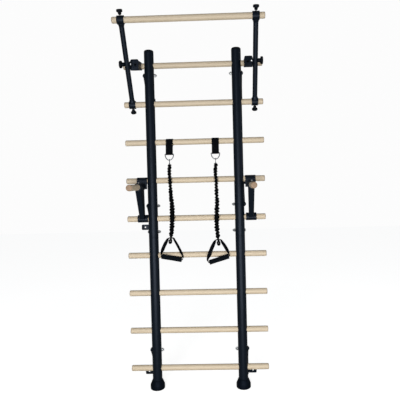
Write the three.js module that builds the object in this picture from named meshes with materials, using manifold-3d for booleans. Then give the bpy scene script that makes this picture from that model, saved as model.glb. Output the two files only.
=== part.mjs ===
// Swedish wall bars with a pull-up frame, two dip handles and two hanging bands.
// Millimetres. +X is the viewer's right, -Y the front, +Z up; the wall is y = 0 and the floor z = 0.
import * as THREE from "three";
import { mergeVertices } from "three/addons/utils/BufferGeometryUtils.js";
import Module from "manifold-3d";

const wasm = await Module();
wasm.setup();

// Fits
const FIT = 0.3;
const TURN_FIT = 0.7;
const OVERRUN = 2;
const MERGE_GAP = 1e-4;

// Roundness
const LARGE_SIDES = 16;
const MEDIUM_SIDES = 12;
const SMALL_SIDES = 8;
const HEX_SIDES = 6;
const ARC_STEPS = 6;
const HOLE_STEPS = 3;
const QUARTER = Math.PI / 2;

// Rungs, counted from the top
const RUNG_COUNT = 9;
const RUNG_LENGTH = 900;
const RUNG_RADIUS = 19;
const RUNG_PITCH = 248;
const LOWER_RUNG_COUNT = 4;
const JOINT_PITCH = 240;
const LOWEST_RUNG_HEIGHT = 132;
const DOWEL_EDGE = 5;

// Uprights
const WALL_GAP = 70;
const UPRIGHT_X = 282;
const RUNG_SET_BACK = 7;
const TUBE_RADIUS = 31;
const TUBE_WALL = 2.5;
const TUBE_RISE = 86;
const SPIGOT_REACH = 95;
const SPIGOT_WALL = 2.5;
const JOINT_BOLT_RISE = 35;
const CAP_RISE = 13;
const CAP_DEPTH = 18;
const CAP_EDGE = 11;

// Feet
const FOOT_HEIGHT = 58;
const FOOT_FLOOR = 8;
const FOOT_COLLAR_WALL = 4;
const FOOT_COLLAR_EDGE = 2;
const FOOT_FLANGE_RADIUS = 47;
const FOOT_FLANGE_HEIGHT = 29;
const FOOT_SOLE_RADIUS = 41;
const FOOT_EDGE = 6;

// Wall brackets and bolts
const STRAP_THICK = 5;
const STRAP_WIDTH = 30;
const KNEE_DROP = 70;
const KNEE_SPREAD = 8;
const TAB_DROPS = { top: 150, middle: 146, bottom: 176 };
const TAB_HEIGHT = 36;
const TAB_LENGTH = 60;
const TAB_CORNER = 7;
const TAB_HOLE_RADIUS = 5;
const TAB_HOLE_REACH = 36;
const TOP_BOLT_DROP = 64;
const MIDDLE_BOLT_RISE = 84;
const BOTTOM_BOLT_RISE = 123;
const BOLT_RADIUS = 6;
const BOLT_HEAD_RADIUS = 10.5;
const BOLT_HEAD_HEIGHT = 6.6;
const NUT_RADIUS = 10.9;
const NUT_HEIGHT = 10.5;
const BOLT_TAIL = 6;

// Pull-up frame
const BAR_LENGTH = 900;
const BAR_FORWARD = 264;
const BAR_ABOVE = 452;
const ARM_X = 397;
const ARM_RADIUS = 15.5;
const ARM_WALL = 2.5;
const COLLAR_LENGTH = 42;
const COLLAR_WALL = 5.7;
const NECK_RADIUS = 20;
const NECK_LENGTH = 14;
const SIDE_SCREW_DROP = 20;

// Rung brackets of the pull-up frame
const SHEET = 4;
const WEB_FORWARD = 105;
const WEB_WIDTH = 50;
const WEB_TOP = 18;
const WEB_BOTTOM = 50;
const WEB_CORNER = 8;
const WEB_HOLE_RADIUS = 8;
const WEB_HOLE_INSET = 20;
const HOOP_WALL = 6;
const EAR_RADIUS = 14;

// Clamp knobs
const STEM_RADIUS = 4;
const STEM_SHOWN = 4;
const KNOB_RADIUS = 18;
const KNOB_HEAD = 16;
const KNOB_CONE = 14;
const KNOB_NECK_RADIUS = 8;
const KNOB_LOBES = 6;
const KNOB_LOBE_STEPS = 4;
const KNOB_DIP = 2.6;
const KNOB_EDGE = 4;
const SIDE_KNOB_RADIUS = 23.5;
const SIDE_KNOB_HEAD = 16;
const SIDE_HUB_RADIUS = 12.5;
const SIDE_HUB = 15;
const SIDE_STEM_TAIL = 9;

// Dip handles
const DIP_X = { left: -347, right: 356 };
const HOOK_WIDTH = 67;
const HOOK_SHEET = 3;
const HOOK_FRONT_DROP = 54;
const HOOK_BACK_DROP = 8;
const SLEEVE_DROP = 39;
const SLEEVE_WALL = 5.5;
const SLEEVE_FORWARD = 172;
const DIP_HANDLE_RADIUS = 18.5;
const DIP_HANDLE_FORWARD = 395;
const CRADLE_WALL = 7;
const CRADLE_END = THREE.MathUtils.degToRad(235);
const LEG_FORWARD = 100;
const LEG_TOP_WIDTH = 36;
const LEG_TOP_DEPTH = 130;
const LEG_FOOT_FORWARD = 32;
const LEG_FOOT_WIDTH = 32;
const LEG_FOOT_DEPTH = 32;
const LEG_CORNER = 7;
const DIP_SCREW_FORWARD = 137;
const DIP_SCREW_RADIUS = 3;
const DIP_SCREW_HEAD_RADIUS = 6.5;
const DIP_SCREW_HEAD = 5;
const DIP_SCREW_BITE = 8;

// Band straps, rings and links
const BAND_FORWARD = 36;
const WEBBING_WIDTH = 46;
const WEBBING_THICK = 3;
const TAIL_THICK = 5;
const EYE_WALL = 3;
const EYE_DROP = 79;
const RING_WIRE = 3;
const RING_SIDE = 4;
const RING_DROP = 39;
const RING_CORNER = 2.5;
const RING_STEPS = 14;
const LINK_WIRE = 2;
const LINK_HALF_WIDTH = 5.8;
const LINK_LENGTH = 26;
const LINK_STEPS = 6;
const FERRULE_RADIUS = 4.5;
const FERRULE_LENGTH = 7;
const BAND_SIDES = 8;
const BAND_STEPS = 36;

// Hand loops
const GRIP_LENGTH = 132;
const GRIP_RADIUS = 15.5;
const GRIP_EDGE = 2;
const RIBBON_WIDTH = 25;
const RIBBON_GATHER = 0.75;
const RIBBON_FIT = 1.5;
const RIBBON_THICK = 2.5;
const RIBBON_STAND = 5;
const RIBBON_BEND = 7;
const RIBBON_TOP = 46;
const RIBBON_CORNER = 12;
const STRAND_BULGE = 2.5;
const CORD_NECK_RADIUS = 5.5;
const CORD_FIT = 1.8;

// Each band: where its strap sits, how it hangs, and how its hand loop tilts and its two strands twist
const BANDS = {
  left: {
    strapX: -162,
    sway: [[0, 0.03], [-3, 0.1], [0, 0.24], [3, 0.4], [8, 0.55], [8, 0.7], [5, 0.84], [-1, 0.95]],
    length: 475,
    knotX: -10,
    gripX: -164,
    gripDrop: 130,
    gripTilt: 10.5,
    twists: { left: 1.0, right: 0.5 },
  },
  right: {
    strapX: 135,
    sway: [[0, 0.03], [-3, 0.1], [0, 0.24], [1, 0.4], [3, 0.52], [-1, 0.66], [-2, 0.82], [2, 0.95]],
    length: 493,
    knotX: 8,
    gripX: 142,
    gripDrop: 126,
    gripTilt: -16.5,
    twists: { left: 1.3, right: 0.9 },
  },
};

// Materials
const coating = new THREE.MeshStandardMaterial({ color: 0x1f262a, metalness: 0.3, roughness: 0.45 });
const zinc = new THREE.MeshStandardMaterial({ color: 0xc4c6c8, metalness: 0.9, roughness: 0.35 });
const beech = new THREE.MeshStandardMaterial({ color: 0xd7c3a8, metalness: 0, roughness: 0.6 });
const rubber = new THREE.MeshStandardMaterial({ color: 0x1b1c1e, metalness: 0, roughness: 0.85 });
const plastic = new THREE.MeshStandardMaterial({ color: 0x151618, metalness: 0, roughness: 0.4 });
const webbing = new THREE.MeshStandardMaterial({ color: 0x16191e, metalness: 0, roughness: 0.9 });
const foam = new THREE.MeshStandardMaterial({ color: 0x242b31, metalness: 0, roughness: 0.95 });

const group = new THREE.Group();

// Solids
function toSolid(geometry) {
  const bare = geometry.index ? geometry.toNonIndexed() : geometry.clone();
  bare.deleteAttribute("normal");
  bare.deleteAttribute("uv");
  const merged = mergeVertices(bare, MERGE_GAP);
  const place = merged.getAttribute("position");
  const corners = merged.index.array;
  const kept = [];
  let volume = 0;
  const points = [new THREE.Vector3(), new THREE.Vector3(), new THREE.Vector3()];
  for (let start = 0; start < corners.length; start += 3) {
    const [a, b, c] = [corners[start], corners[start + 1], corners[start + 2]];
    if (a === b || b === c || c === a) {
      continue;
    }
    kept.push([a, b, c]);
    [a, b, c].forEach((corner, order) => points[order].fromBufferAttribute(place, corner));
    volume += points[0].dot(points[1].clone().cross(points[2]));
  }
  const facing = volume < 0 ? kept.map(([a, b, c]) => [a, c, b]) : kept;
  const mesh = new wasm.Mesh({
    numProp: 3,
    vertProperties: new Float32Array(place.array),
    triVerts: new Uint32Array(facing.flat()),
  });
  return new wasm.Manifold(mesh);
}

function toGeometry(body) {
  const mesh = body.getMesh();
  const geometry = new THREE.BufferGeometry();
  geometry.setAttribute("position", new THREE.BufferAttribute(new Float32Array(mesh.vertProperties), 3));
  geometry.setIndex(new THREE.BufferAttribute(new Uint32Array(mesh.triVerts), 1));
  return geometry;
}

function join(...shapes) {
  return toGeometry(shapes.map(toSolid).reduce((whole, next) => whole.add(next)));
}

function cut(shape, ...tools) {
  return toGeometry(tools.map(toSolid).reduce((left, tool) => left.subtract(tool), toSolid(shape)));
}

function add(name, shape, material) {
  const geometry = toGeometry(toSolid(shape)).toNonIndexed().translate(0, -WALL_GAP, 0);
  geometry.computeVertexNormals();
  const mesh = new THREE.Mesh(geometry, material);
  mesh.name = name;
  group.add(mesh);
}

// Basic shapes
function turned(profile, sides) {
  const points = profile.map(([radius, height]) => new THREE.Vector2(radius, height));
  return new THREE.LatheGeometry(points, sides).rotateX(QUARTER);
}

function rod(radius, from, to, sides) {
  return turned([[0, from], [radius, from], [radius, to], [0, to]], sides);
}

function pipe(outer, inner, from, to, sides) {
  return turned([[inner, from], [outer, from], [outer, to], [inner, to], [inner, from]], sides);
}

function dowel(radius, from, to) {
  const turn = DOWEL_EDGE * (1 - Math.SQRT1_2);
  const profile = [
    [0, from], [radius - DOWEL_EDGE, from], [radius - turn, from + turn], [radius, from + DOWEL_EDGE],
    [radius, to - DOWEL_EDGE], [radius - turn, to - turn], [radius - DOWEL_EDGE, to], [0, to],
  ];
  return turned(profile, LARGE_SIDES);
}

function alongX(geometry) {
  return geometry.rotateY(QUARTER);
}

function alongY(geometry) {
  return geometry.rotateX(-QUARTER);
}

// A side-view outline (back, up) given a width along X
function sideSlab(outline, width) {
  const settings = { depth: width, bevelEnabled: false, curveSegments: ARC_STEPS };
  return new THREE.ExtrudeGeometry(outline, settings).rotateX(QUARTER).rotateZ(QUARTER);
}

// A front-view outline (right, up) given a thickness towards the front
function frontSlab(outline, thickness) {
  const settings = { depth: thickness, bevelEnabled: false, curveSegments: HOLE_STEPS };
  return new THREE.ExtrudeGeometry(outline, settings).rotateX(QUARTER);
}

function outlineOf(points) {
  return new THREE.Shape(points.map(([across, up]) => new THREE.Vector2(across, up)));
}

function mirrored(geometry, side) {
  return side < 0 ? geometry.scale(-1, 1, 1) : geometry;
}

// Rings of corners joined into one closed skin
function skin(rings, closed) {
  const count = rings[0].length;
  const faces = [];
  const spans = closed ? rings.length : rings.length - 1;
  for (let ring = 0; ring < spans; ring += 1) {
    const here = ring * count;
    const next = ((ring + 1) % rings.length) * count;
    for (let side = 0; side < count; side += 1) {
      const turn = (side + 1) % count;
      faces.push(here + side, here + turn, next + turn);
      faces.push(here + side, next + turn, next + side);
    }
  }
  if (!closed) {
    const last = (rings.length - 1) * count;
    for (let side = 1; side < count - 1; side += 1) {
      faces.push(0, side + 1, side);
      faces.push(last, last + side, last + side + 1);
    }
  }
  const geometry = new THREE.BufferGeometry().setFromPoints(rings.flat());
  geometry.setIndex(faces);
  return geometry;
}

function circleSection(radius, sides) {
  const section = [];
  for (let step = 0; step < sides; step += 1) {
    const angle = (2 * Math.PI * step) / sides;
    section.push([radius * Math.cos(angle), radius * Math.sin(angle)]);
  }
  return section;
}

// A section carried along points; sideAt gives the section's first direction at each point
function sweep(points, sideAt, sectionAt, closed) {
  const last = points.length - 1;
  const rings = points.map((point, index) => {
    const before = points[index > 0 ? index - 1 : closed ? last : 0];
    const after = points[index < last ? index + 1 : closed ? 0 : last];
    const along = after.clone().sub(before).normalize();
    const first = sideAt(index).clone();
    first.addScaledVector(along, -first.dot(along)).normalize();
    const second = along.clone().cross(first);
    return sectionAt(index).map(
      ([a, b]) => point.clone().addScaledVector(first, a).addScaledVector(second, b),
    );
  });
  return skin(rings, closed);
}

const X_AXIS = new THREE.Vector3(1, 0, 0);
const Y_AXIS = new THREE.Vector3(0, 1, 0);
const SIDES = { left: -1, right: 1 };

function rungHeight(number) {
  const pitches = RUNG_COUNT - number;
  const height = LOWEST_RUNG_HEIGHT + pitches * RUNG_PITCH;
  return pitches < LOWER_RUNG_COUNT ? height : height + JOINT_PITCH - RUNG_PITCH;
}

// Rungs
function makeRungs() {
  for (let number = 1; number <= RUNG_COUNT; number += 1) {
    const rung = alongX(dowel(RUNG_RADIUS, -RUNG_LENGTH / 2, RUNG_LENGTH / 2));
    add(`rung_${number}`, rung.translate(0, 0, rungHeight(number)), beech);
  }
}

// Uprights: each of two lengths, the lower one with a spigot that enters the upper one.
// Their middle line stands a little in front of the rungs' middle line.
const JOINT_HEIGHT = (rungHeight(5) + rungHeight(6)) / 2;
const JOINT_BOLT_HEIGHT = JOINT_HEIGHT + JOINT_BOLT_RISE;
const TUBE_TOP = rungHeight(1) + TUBE_RISE;
const BOLT_HEIGHTS = {
  top: rungHeight(1) - TOP_BOLT_DROP,
  middle: rungHeight(5) + MIDDLE_BOLT_RISE,
  bottom: rungHeight(9) + BOTTOM_BOLT_RISE,
};

const WALL_REACH = WALL_GAP + RUNG_SET_BACK;

function crossHole(radius, back, height, sides) {
  const reach = TUBE_RADIUS + OVERRUN;
  return alongX(rod(radius, -reach, reach, sides)).translate(0, back, height);
}

function onUpright(geometry, side) {
  return geometry.translate(side * UPRIGHT_X, -RUNG_SET_BACK, 0);
}

function makeUprights() {
  const bore = TUBE_RADIUS - TUBE_WALL;
  const holes = [];
  for (let number = 1; number <= RUNG_COUNT; number += 1) {
    holes.push(crossHole(RUNG_RADIUS + FIT, RUNG_SET_BACK, rungHeight(number), LARGE_SIDES));
  }
  for (const height of [...Object.values(BOLT_HEIGHTS), JOINT_BOLT_HEIGHT]) {
    holes.push(crossHole(BOLT_RADIUS + FIT, 0, height, SMALL_SIDES));
  }
  const lower = pipe(TUBE_RADIUS, bore, FOOT_FLOOR + FIT, JOINT_HEIGHT - FIT / 2, LARGE_SIDES);
  const upper = pipe(TUBE_RADIUS, bore, JOINT_HEIGHT + FIT / 2, TUBE_TOP, LARGE_SIDES);
  const spigotProfile = [
    [bore - SPIGOT_WALL, JOINT_HEIGHT - SPIGOT_REACH], [bore + FIT, JOINT_HEIGHT - SPIGOT_REACH],
    [bore + FIT, JOINT_HEIGHT - OVERRUN], [bore - FIT, JOINT_HEIGHT],
    [bore - FIT, JOINT_HEIGHT + SPIGOT_REACH], [bore - SPIGOT_WALL, JOINT_HEIGHT + SPIGOT_REACH],
    [bore - SPIGOT_WALL, JOINT_HEIGHT - SPIGOT_REACH],
  ];
  const lowerWhole = join(lower, turned(spigotProfile, LARGE_SIDES));
  for (const [name, side] of Object.entries(SIDES)) {
    add(`upright_${name}_lower`, onUpright(cut(lowerWhole, ...holes), side), coating);
    add(`upright_${name}_upper`, onUpright(cut(upper, ...holes), side), coating);
  }
}

function makeCapsAndFeet() {
  const plug = TUBE_RADIUS - TUBE_WALL - FIT;
  const turn = CAP_EDGE * (1 - Math.SQRT1_2);
  const capProfile = [
    [0, -CAP_DEPTH], [plug, -CAP_DEPTH], [plug, FIT], [TUBE_RADIUS, FIT], [TUBE_RADIUS, CAP_RISE - CAP_EDGE],
    [TUBE_RADIUS - turn, CAP_RISE - turn], [TUBE_RADIUS - CAP_EDGE, CAP_RISE], [0, CAP_RISE],
  ];
  const socket = TUBE_RADIUS + FIT;
  const collar = socket + FOOT_COLLAR_WALL;
  const footProfile = [
    [0, 0], [FOOT_SOLE_RADIUS, 0], [FOOT_FLANGE_RADIUS, FOOT_EDGE],
    [FOOT_FLANGE_RADIUS, FOOT_FLANGE_HEIGHT], [collar, FOOT_HEIGHT - FOOT_COLLAR_EDGE],
    [collar - FOOT_COLLAR_EDGE, FOOT_HEIGHT],
    [socket, FOOT_HEIGHT], [socket, FOOT_FLOOR], [0, FOOT_FLOOR],
  ];
  for (const [name, side] of Object.entries(SIDES)) {
    const cap = turned(capProfile, LARGE_SIDES).translate(0, 0, TUBE_TOP);
    add(`cap_${name}`, onUpright(cap, side), plastic);
    add(`foot_${name}`, onUpright(turned(footProfile, LARGE_SIDES), side), rubber);
  }
}

// Wall brackets: a flat strap beside the tube that runs back to the wall and ends in a bent tab
const STRAP_X = UPRIGHT_X + TUBE_RADIUS + FIT;

function wallBracket(tabOutward, tabDrop) {
  const eye = STRAP_WIDTH / 2;
  const frontEdge = WALL_REACH - STRAP_WIDTH;
  const foot = -tabDrop - TAB_HEIGHT / 2;
  const lean = Math.atan2(-KNEE_DROP, WALL_REACH - eye);
  const outline = new THREE.Shape();
  outline.absarc(0, 0, eye, lean + QUARTER, lean + 3 * QUARTER, false);
  outline.lineTo(frontEdge, -KNEE_DROP - KNEE_SPREAD);
  outline.lineTo(frontEdge, foot);
  outline.lineTo(WALL_REACH, foot);
  outline.lineTo(WALL_REACH, -KNEE_DROP + KNEE_SPREAD);
  const strap = sideSlab(outline, STRAP_THICK).translate(STRAP_X, 0, 0);
  const half = TAB_HEIGHT / 2;
  const tabOutline = outlineOf([
    [0, -half], [TAB_LENGTH - TAB_CORNER, -half], [TAB_LENGTH, -half + TAB_CORNER],
    [TAB_LENGTH, half - TAB_CORNER], [TAB_LENGTH - TAB_CORNER, half], [0, half],
  ]);
  const hole = new THREE.Path();
  hole.absarc(TAB_HOLE_REACH, 0, TAB_HOLE_RADIUS, 0, 2 * Math.PI, true);
  tabOutline.holes.push(hole);
  const tab = frontSlab(tabOutline, STRAP_THICK);
  const tabX = tabOutward ? STRAP_X : STRAP_X + STRAP_THICK;
  mirrored(tab, tabOutward ? 1 : -1).translate(tabX, WALL_REACH, -tabDrop);
  const strapEnd = STRAP_X + STRAP_THICK;
  const boltHole = rod(BOLT_RADIUS + FIT, STRAP_X - OVERRUN, strapEnd + OVERRUN, SMALL_SIDES);
  return cut(join(strap, tab), alongX(boltHole));
}

// A bolt across a tube, from its button head outside to its nut inside
function crossBolt(headSeat) {
  const nutSeat = UPRIGHT_X - TUBE_RADIUS - FIT;
  const shank = rod(BOLT_RADIUS, nutSeat - NUT_HEIGHT - BOLT_TAIL, headSeat + OVERRUN, SMALL_SIDES);
  const head = turned([
    [0, headSeat], [BOLT_HEAD_RADIUS, headSeat], [BOLT_HEAD_RADIUS, headSeat + BOLT_HEAD_HEIGHT / 2],
    [BOLT_HEAD_RADIUS / 2, headSeat + BOLT_HEAD_HEIGHT], [0, headSeat + BOLT_HEAD_HEIGHT],
  ], SMALL_SIDES);
  const nut = rod(NUT_RADIUS, nutSeat - NUT_HEIGHT, nutSeat, HEX_SIDES);
  return alongX(join(shank, head, nut));
}

function makeWallFixings() {
  const places = {
    top: { outward: false, up: { left: 1, right: 1 } },
    middle: { outward: true, up: { left: 1, right: -1 } },
    bottom: { outward: true, up: { left: 1, right: 1 } },
  };
  for (const [level, place] of Object.entries(places)) {
    for (const [name, side] of Object.entries(SIDES)) {
      const drawn = wallBracket(place.outward, TAB_DROPS[level]).scale(1, 1, place.up[name]);
      const bracket = mirrored(drawn, side).translate(0, -RUNG_SET_BACK, BOLT_HEIGHTS[level]);
      add(`wall_bracket_${name}_${level}`, bracket, coating);
      const bolt = mirrored(crossBolt(STRAP_X + STRAP_THICK + FIT), side);
      add(`wall_bolt_${name}_${level}`, bolt.translate(0, -RUNG_SET_BACK, BOLT_HEIGHTS[level]), zinc);
    }
  }
  for (const [name, side] of Object.entries(SIDES)) {
    const bolt = mirrored(crossBolt(STRAP_X), side);
    add(`joint_bolt_${name}`, bolt.translate(0, -RUNG_SET_BACK, JOINT_BOLT_HEIGHT), zinc);
  }
}

// Clamp knobs: a lobed head on a hub, with a screw that points down from the origin
function lobedHead(radius, height) {
  const outline = new THREE.Shape();
  const steps = KNOB_LOBES * KNOB_LOBE_STEPS;
  for (let step = 0; step < steps; step += 1) {
    const angle = (2 * Math.PI * step) / steps;
    const reach = radius - KNOB_EDGE - (KNOB_DIP * (1 - Math.cos(KNOB_LOBES * angle))) / 2;
    const corner = [reach * Math.cos(angle), reach * Math.sin(angle)];
    if (step === 0) {
      outline.moveTo(...corner);
    } else {
      outline.lineTo(...corner);
    }
  }
  return new THREE.ExtrudeGeometry(outline, {
    depth: height - 2 * KNOB_EDGE,
    bevelThickness: KNOB_EDGE,
    bevelSize: KNOB_EDGE,
    bevelSegments: 1,
  }).translate(0, 0, KNOB_EDGE);
}

function clampKnob() {
  const screw = rod(STEM_RADIUS, FIT - COLLAR_WALL, STEM_SHOWN + OVERRUN, SMALL_SIDES);
  const coneTop = STEM_SHOWN + KNOB_CONE;
  const coneRadius = KNOB_RADIUS - KNOB_DIP - KNOB_EDGE;
  const cone = turned([
    [0, STEM_SHOWN], [KNOB_NECK_RADIUS, STEM_SHOWN],
    [coneRadius, coneTop + KNOB_EDGE], [0, coneTop + KNOB_EDGE],
  ], MEDIUM_SIDES);
  return join(screw, cone, lobedHead(KNOB_RADIUS, KNOB_HEAD).translate(0, 0, coneTop));
}

function sideKnob() {
  const reach = 2 * ARM_RADIUS + 2 * FIT + SHEET + SIDE_STEM_TAIL;
  const screw = rod(STEM_RADIUS, -reach, OVERRUN, SMALL_SIDES);
  const hub = rod(SIDE_HUB_RADIUS, 0, SIDE_HUB + KNOB_EDGE, MEDIUM_SIDES);
  return join(screw, hub, lobedHead(SIDE_KNOB_RADIUS, SIDE_KNOB_HEAD).translate(0, 0, SIDE_HUB));
}

// Pull-up frame: an arm is drawn upright on rung 2 and then leaned forward
const ARM_LEAN = Math.atan2(BAR_FORWARD, BAR_ABOVE);
const ARM_LENGTH = Math.hypot(BAR_FORWARD, BAR_ABOVE);
const COLLAR_RADIUS = RUNG_RADIUS + TURN_FIT + COLLAR_WALL;
const SIDE_SCREW_RISE = RUNG_PITCH - SIDE_SCREW_DROP;
const SIDE_SCREW_FORWARD = SIDE_SCREW_RISE * Math.tan(ARM_LEAN);
const SIDE_SCREW_ALONG = SIDE_SCREW_RISE / Math.cos(ARM_LEAN);

function onArm(geometry, side) {
  return geometry.rotateX(ARM_LEAN).translate(side * ARM_X, 0, rungHeight(2));
}

function armShape() {
  const half = COLLAR_LENGTH / 2;
  const neckTop = COLLAR_RADIUS + NECK_LENGTH;
  const neckProfile = [[0, RUNG_RADIUS], [NECK_RADIUS, RUNG_RADIUS], [ARM_RADIUS, neckTop], [0, neckTop]];
  const collar = alongX(rod(COLLAR_RADIUS, -half, half, LARGE_SIDES));
  const neck = turned(neckProfile, MEDIUM_SIDES);
  const whole = join(
    collar, neck, rod(ARM_RADIUS, RUNG_RADIUS, ARM_LENGTH - RUNG_RADIUS, MEDIUM_SIDES),
    collar.clone().translate(0, 0, ARM_LENGTH),
    neck.clone().rotateX(Math.PI).translate(0, 0, ARM_LENGTH),
  );
  const bore = alongX(rod(RUNG_RADIUS + TURN_FIT, -half - OVERRUN, half + OVERRUN, LARGE_SIDES));
  const knobHole = STEM_RADIUS + TURN_FIT;
  const outside = COLLAR_RADIUS + OVERRUN;
  const sideHole = alongX(rod(knobHole, -ARM_RADIUS - OVERRUN, ARM_RADIUS + OVERRUN, SMALL_SIDES));
  return cut(
    whole, bore, bore.clone().translate(0, 0, ARM_LENGTH),
    rod(ARM_RADIUS - ARM_WALL, neckTop, ARM_LENGTH - neckTop, MEDIUM_SIDES),
    rod(knobHole, RUNG_RADIUS - OVERRUN, outside, SMALL_SIDES).translate(0, 0, ARM_LENGTH),
    rod(knobHole, -outside, OVERRUN - RUNG_RADIUS, SMALL_SIDES),
    sideHole.translate(0, 0, SIDE_SCREW_ALONG),
  );
}

// Bracket between rung 1 and the arm: a hoop on the rung, two cheeks and a front web
function rungBracket() {
  const hoopRadius = RUNG_RADIUS + FIT + HOOP_WALL;
  const outerX = ARM_X - ARM_RADIUS - FIT - SHEET;
  const innerX = outerX + SHEET - WEB_WIDTH;
  const shoulder = WEB_TOP - WEB_CORNER;
  const inner = new THREE.Shape();
  inner.absarc(0, 0, hoopRadius, QUARTER, -QUARTER, true);
  inner.lineTo(-WEB_FORWARD, -WEB_BOTTOM);
  inner.lineTo(-WEB_FORWARD, shoulder);
  const outer = new THREE.Shape();
  outer.absarc(0, 0, hoopRadius, QUARTER, -QUARTER, true);
  outer.lineTo(-WEB_FORWARD, -WEB_BOTTOM - OVERRUN);
  outer.absarc(-SIDE_SCREW_FORWARD, -SIDE_SCREW_DROP, EAR_RADIUS, -QUARTER, QUARTER, true);
  outer.lineTo(-WEB_FORWARD, shoulder);
  const webOutline = outlineOf([
    [0, -WEB_BOTTOM], [WEB_WIDTH, -WEB_BOTTOM], [WEB_WIDTH, shoulder], [WEB_WIDTH - WEB_CORNER, WEB_TOP],
    [WEB_CORNER, WEB_TOP], [0, shoulder],
  ]);
  const webHole = new THREE.Path();
  webHole.absarc(WEB_HOLE_INSET, (WEB_TOP - WEB_BOTTOM) / 2, WEB_HOLE_RADIUS, 0, 2 * Math.PI, true);
  webOutline.holes.push(webHole);
  const web = frontSlab(webOutline, SHEET).translate(innerX, SHEET - WEB_FORWARD, 0);
  const outerEnd = outerX + SHEET;
  const hoopStart = innerX + SHEET / 2;
  const hoop = alongX(rod(hoopRadius, hoopStart, outerEnd, LARGE_SIDES));
  const bracket = join(
    sideSlab(inner, SHEET).translate(innerX, 0, 0), sideSlab(outer, SHEET).translate(outerX, 0, 0), web, hoop,
  );
  const bore = alongX(rod(RUNG_RADIUS + FIT, innerX - OVERRUN, outerEnd + OVERRUN, LARGE_SIDES));
  const screwHole = alongX(rod(STEM_RADIUS + TURN_FIT, outerX - OVERRUN, outerEnd + OVERRUN, SMALL_SIDES));
  return cut(bracket, bore, screwHole.translate(0, -SIDE_SCREW_FORWARD, -SIDE_SCREW_DROP));
}

function makePullUpFrame() {
  const bar = alongX(dowel(RUNG_RADIUS, -BAR_LENGTH / 2, BAR_LENGTH / 2));
  add("pull_up_bar", bar.translate(0, -BAR_FORWARD, rungHeight(2) + BAR_ABOVE), beech);
  for (const [name, side] of Object.entries(SIDES)) {
    add(`arm_${name}`, onArm(armShape(), side), coating);
    add(`rung_bracket_${name}`, mirrored(rungBracket(), side).translate(0, 0, rungHeight(1)), coating);
    const topKnob = clampKnob().translate(0, 0, ARM_LENGTH + COLLAR_RADIUS);
    add(`knob_${name}_top`, onArm(topKnob, side), plastic);
    const bottomKnob = clampKnob().rotateX(Math.PI).translate(0, 0, -COLLAR_RADIUS);
    add(`knob_${name}_bottom`, onArm(bottomKnob, side), plastic);
    const knob = mirrored(alongX(sideKnob()).translate(ARM_X + ARM_RADIUS + FIT, 0, 0), side);
    const screwHeight = rungHeight(1) - SIDE_SCREW_DROP;
    add(`knob_${name}_side`, knob.translate(0, -SIDE_SCREW_FORWARD, screwHeight), plastic);
  }
}

// Dip units: a hook over rung 4, a sleeve for the handle and a leg that rests on rung 5
const HOOK_BORE = RUNG_RADIUS + TURN_FIT;
const HOOK_OUTER = HOOK_BORE + HOOK_SHEET;
const SLEEVE_RADIUS = DIP_HANDLE_RADIUS + FIT + SLEEVE_WALL;

function legRing(width, depth, forward, height) {
  const chamfer = LEG_CORNER;
  const x = width / 2;
  const y = depth / 2;
  const corners = [
    [x, chamfer - y], [x, y - chamfer], [x - chamfer, y], [chamfer - x, y],
    [-x, y - chamfer], [-x, chamfer - y], [chamfer - x, -y], [x - chamfer, -y],
  ];
  return corners.map(([across, back]) => new THREE.Vector3(across, back - forward, height));
}

function dipBracket() {
  const hookOutline = new THREE.Shape();
  hookOutline.moveTo(-HOOK_OUTER, -HOOK_FRONT_DROP);
  hookOutline.absarc(0, 0, HOOK_OUTER, Math.PI, 0, true);
  hookOutline.lineTo(HOOK_OUTER, -HOOK_BACK_DROP);
  hookOutline.lineTo(HOOK_BORE, -HOOK_BACK_DROP);
  hookOutline.absarc(0, 0, HOOK_BORE, 0, Math.PI, false);
  hookOutline.lineTo(-HOOK_BORE, -HOOK_FRONT_DROP);
  const cradleOutline = new THREE.Shape();
  cradleOutline.absarc(0, 0, HOOK_BORE + CRADLE_WALL, QUARTER, CRADLE_END, false);
  cradleOutline.absarc(0, 0, HOOK_BORE, CRADLE_END, QUARTER, true);
  const half = HOOK_WIDTH / 2;
  const hook = sideSlab(hookOutline, HOOK_WIDTH).translate(-half, 0, 0);
  const cradle = sideSlab(cradleOutline, HOOK_WIDTH).translate(-half, 0, -RUNG_PITCH);
  const sleeve = alongY(rod(SLEEVE_RADIUS, -SLEEVE_FORWARD, -HOOK_BORE, LARGE_SIDES));
  const leg = skin([
    legRing(LEG_FOOT_WIDTH, LEG_FOOT_DEPTH, LEG_FOOT_FORWARD, -RUNG_PITCH),
    legRing(LEG_TOP_WIDTH, LEG_TOP_DEPTH, LEG_FORWARD, -SLEEVE_DROP),
  ], false);
  const socketEnd = -HOOK_OUTER - FIT;
  const socket = alongY(rod(DIP_HANDLE_RADIUS + FIT, -SLEEVE_FORWARD - OVERRUN, socketEnd, LARGE_SIDES));
  const screwHole = rod(DIP_SCREW_RADIUS + FIT, 0, SLEEVE_RADIUS + OVERRUN, SMALL_SIDES);
  const rungSpace = alongX(rod(HOOK_BORE, -half - OVERRUN, half + OVERRUN, LARGE_SIDES));
  return cut(
    join(hook, cradle, sleeve.translate(0, 0, -SLEEVE_DROP), leg),
    socket.translate(0, 0, -SLEEVE_DROP), screwHole.translate(0, -DIP_SCREW_FORWARD, -SLEEVE_DROP),
    rungSpace.translate(0, 0, -RUNG_PITCH),
  );
}

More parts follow.
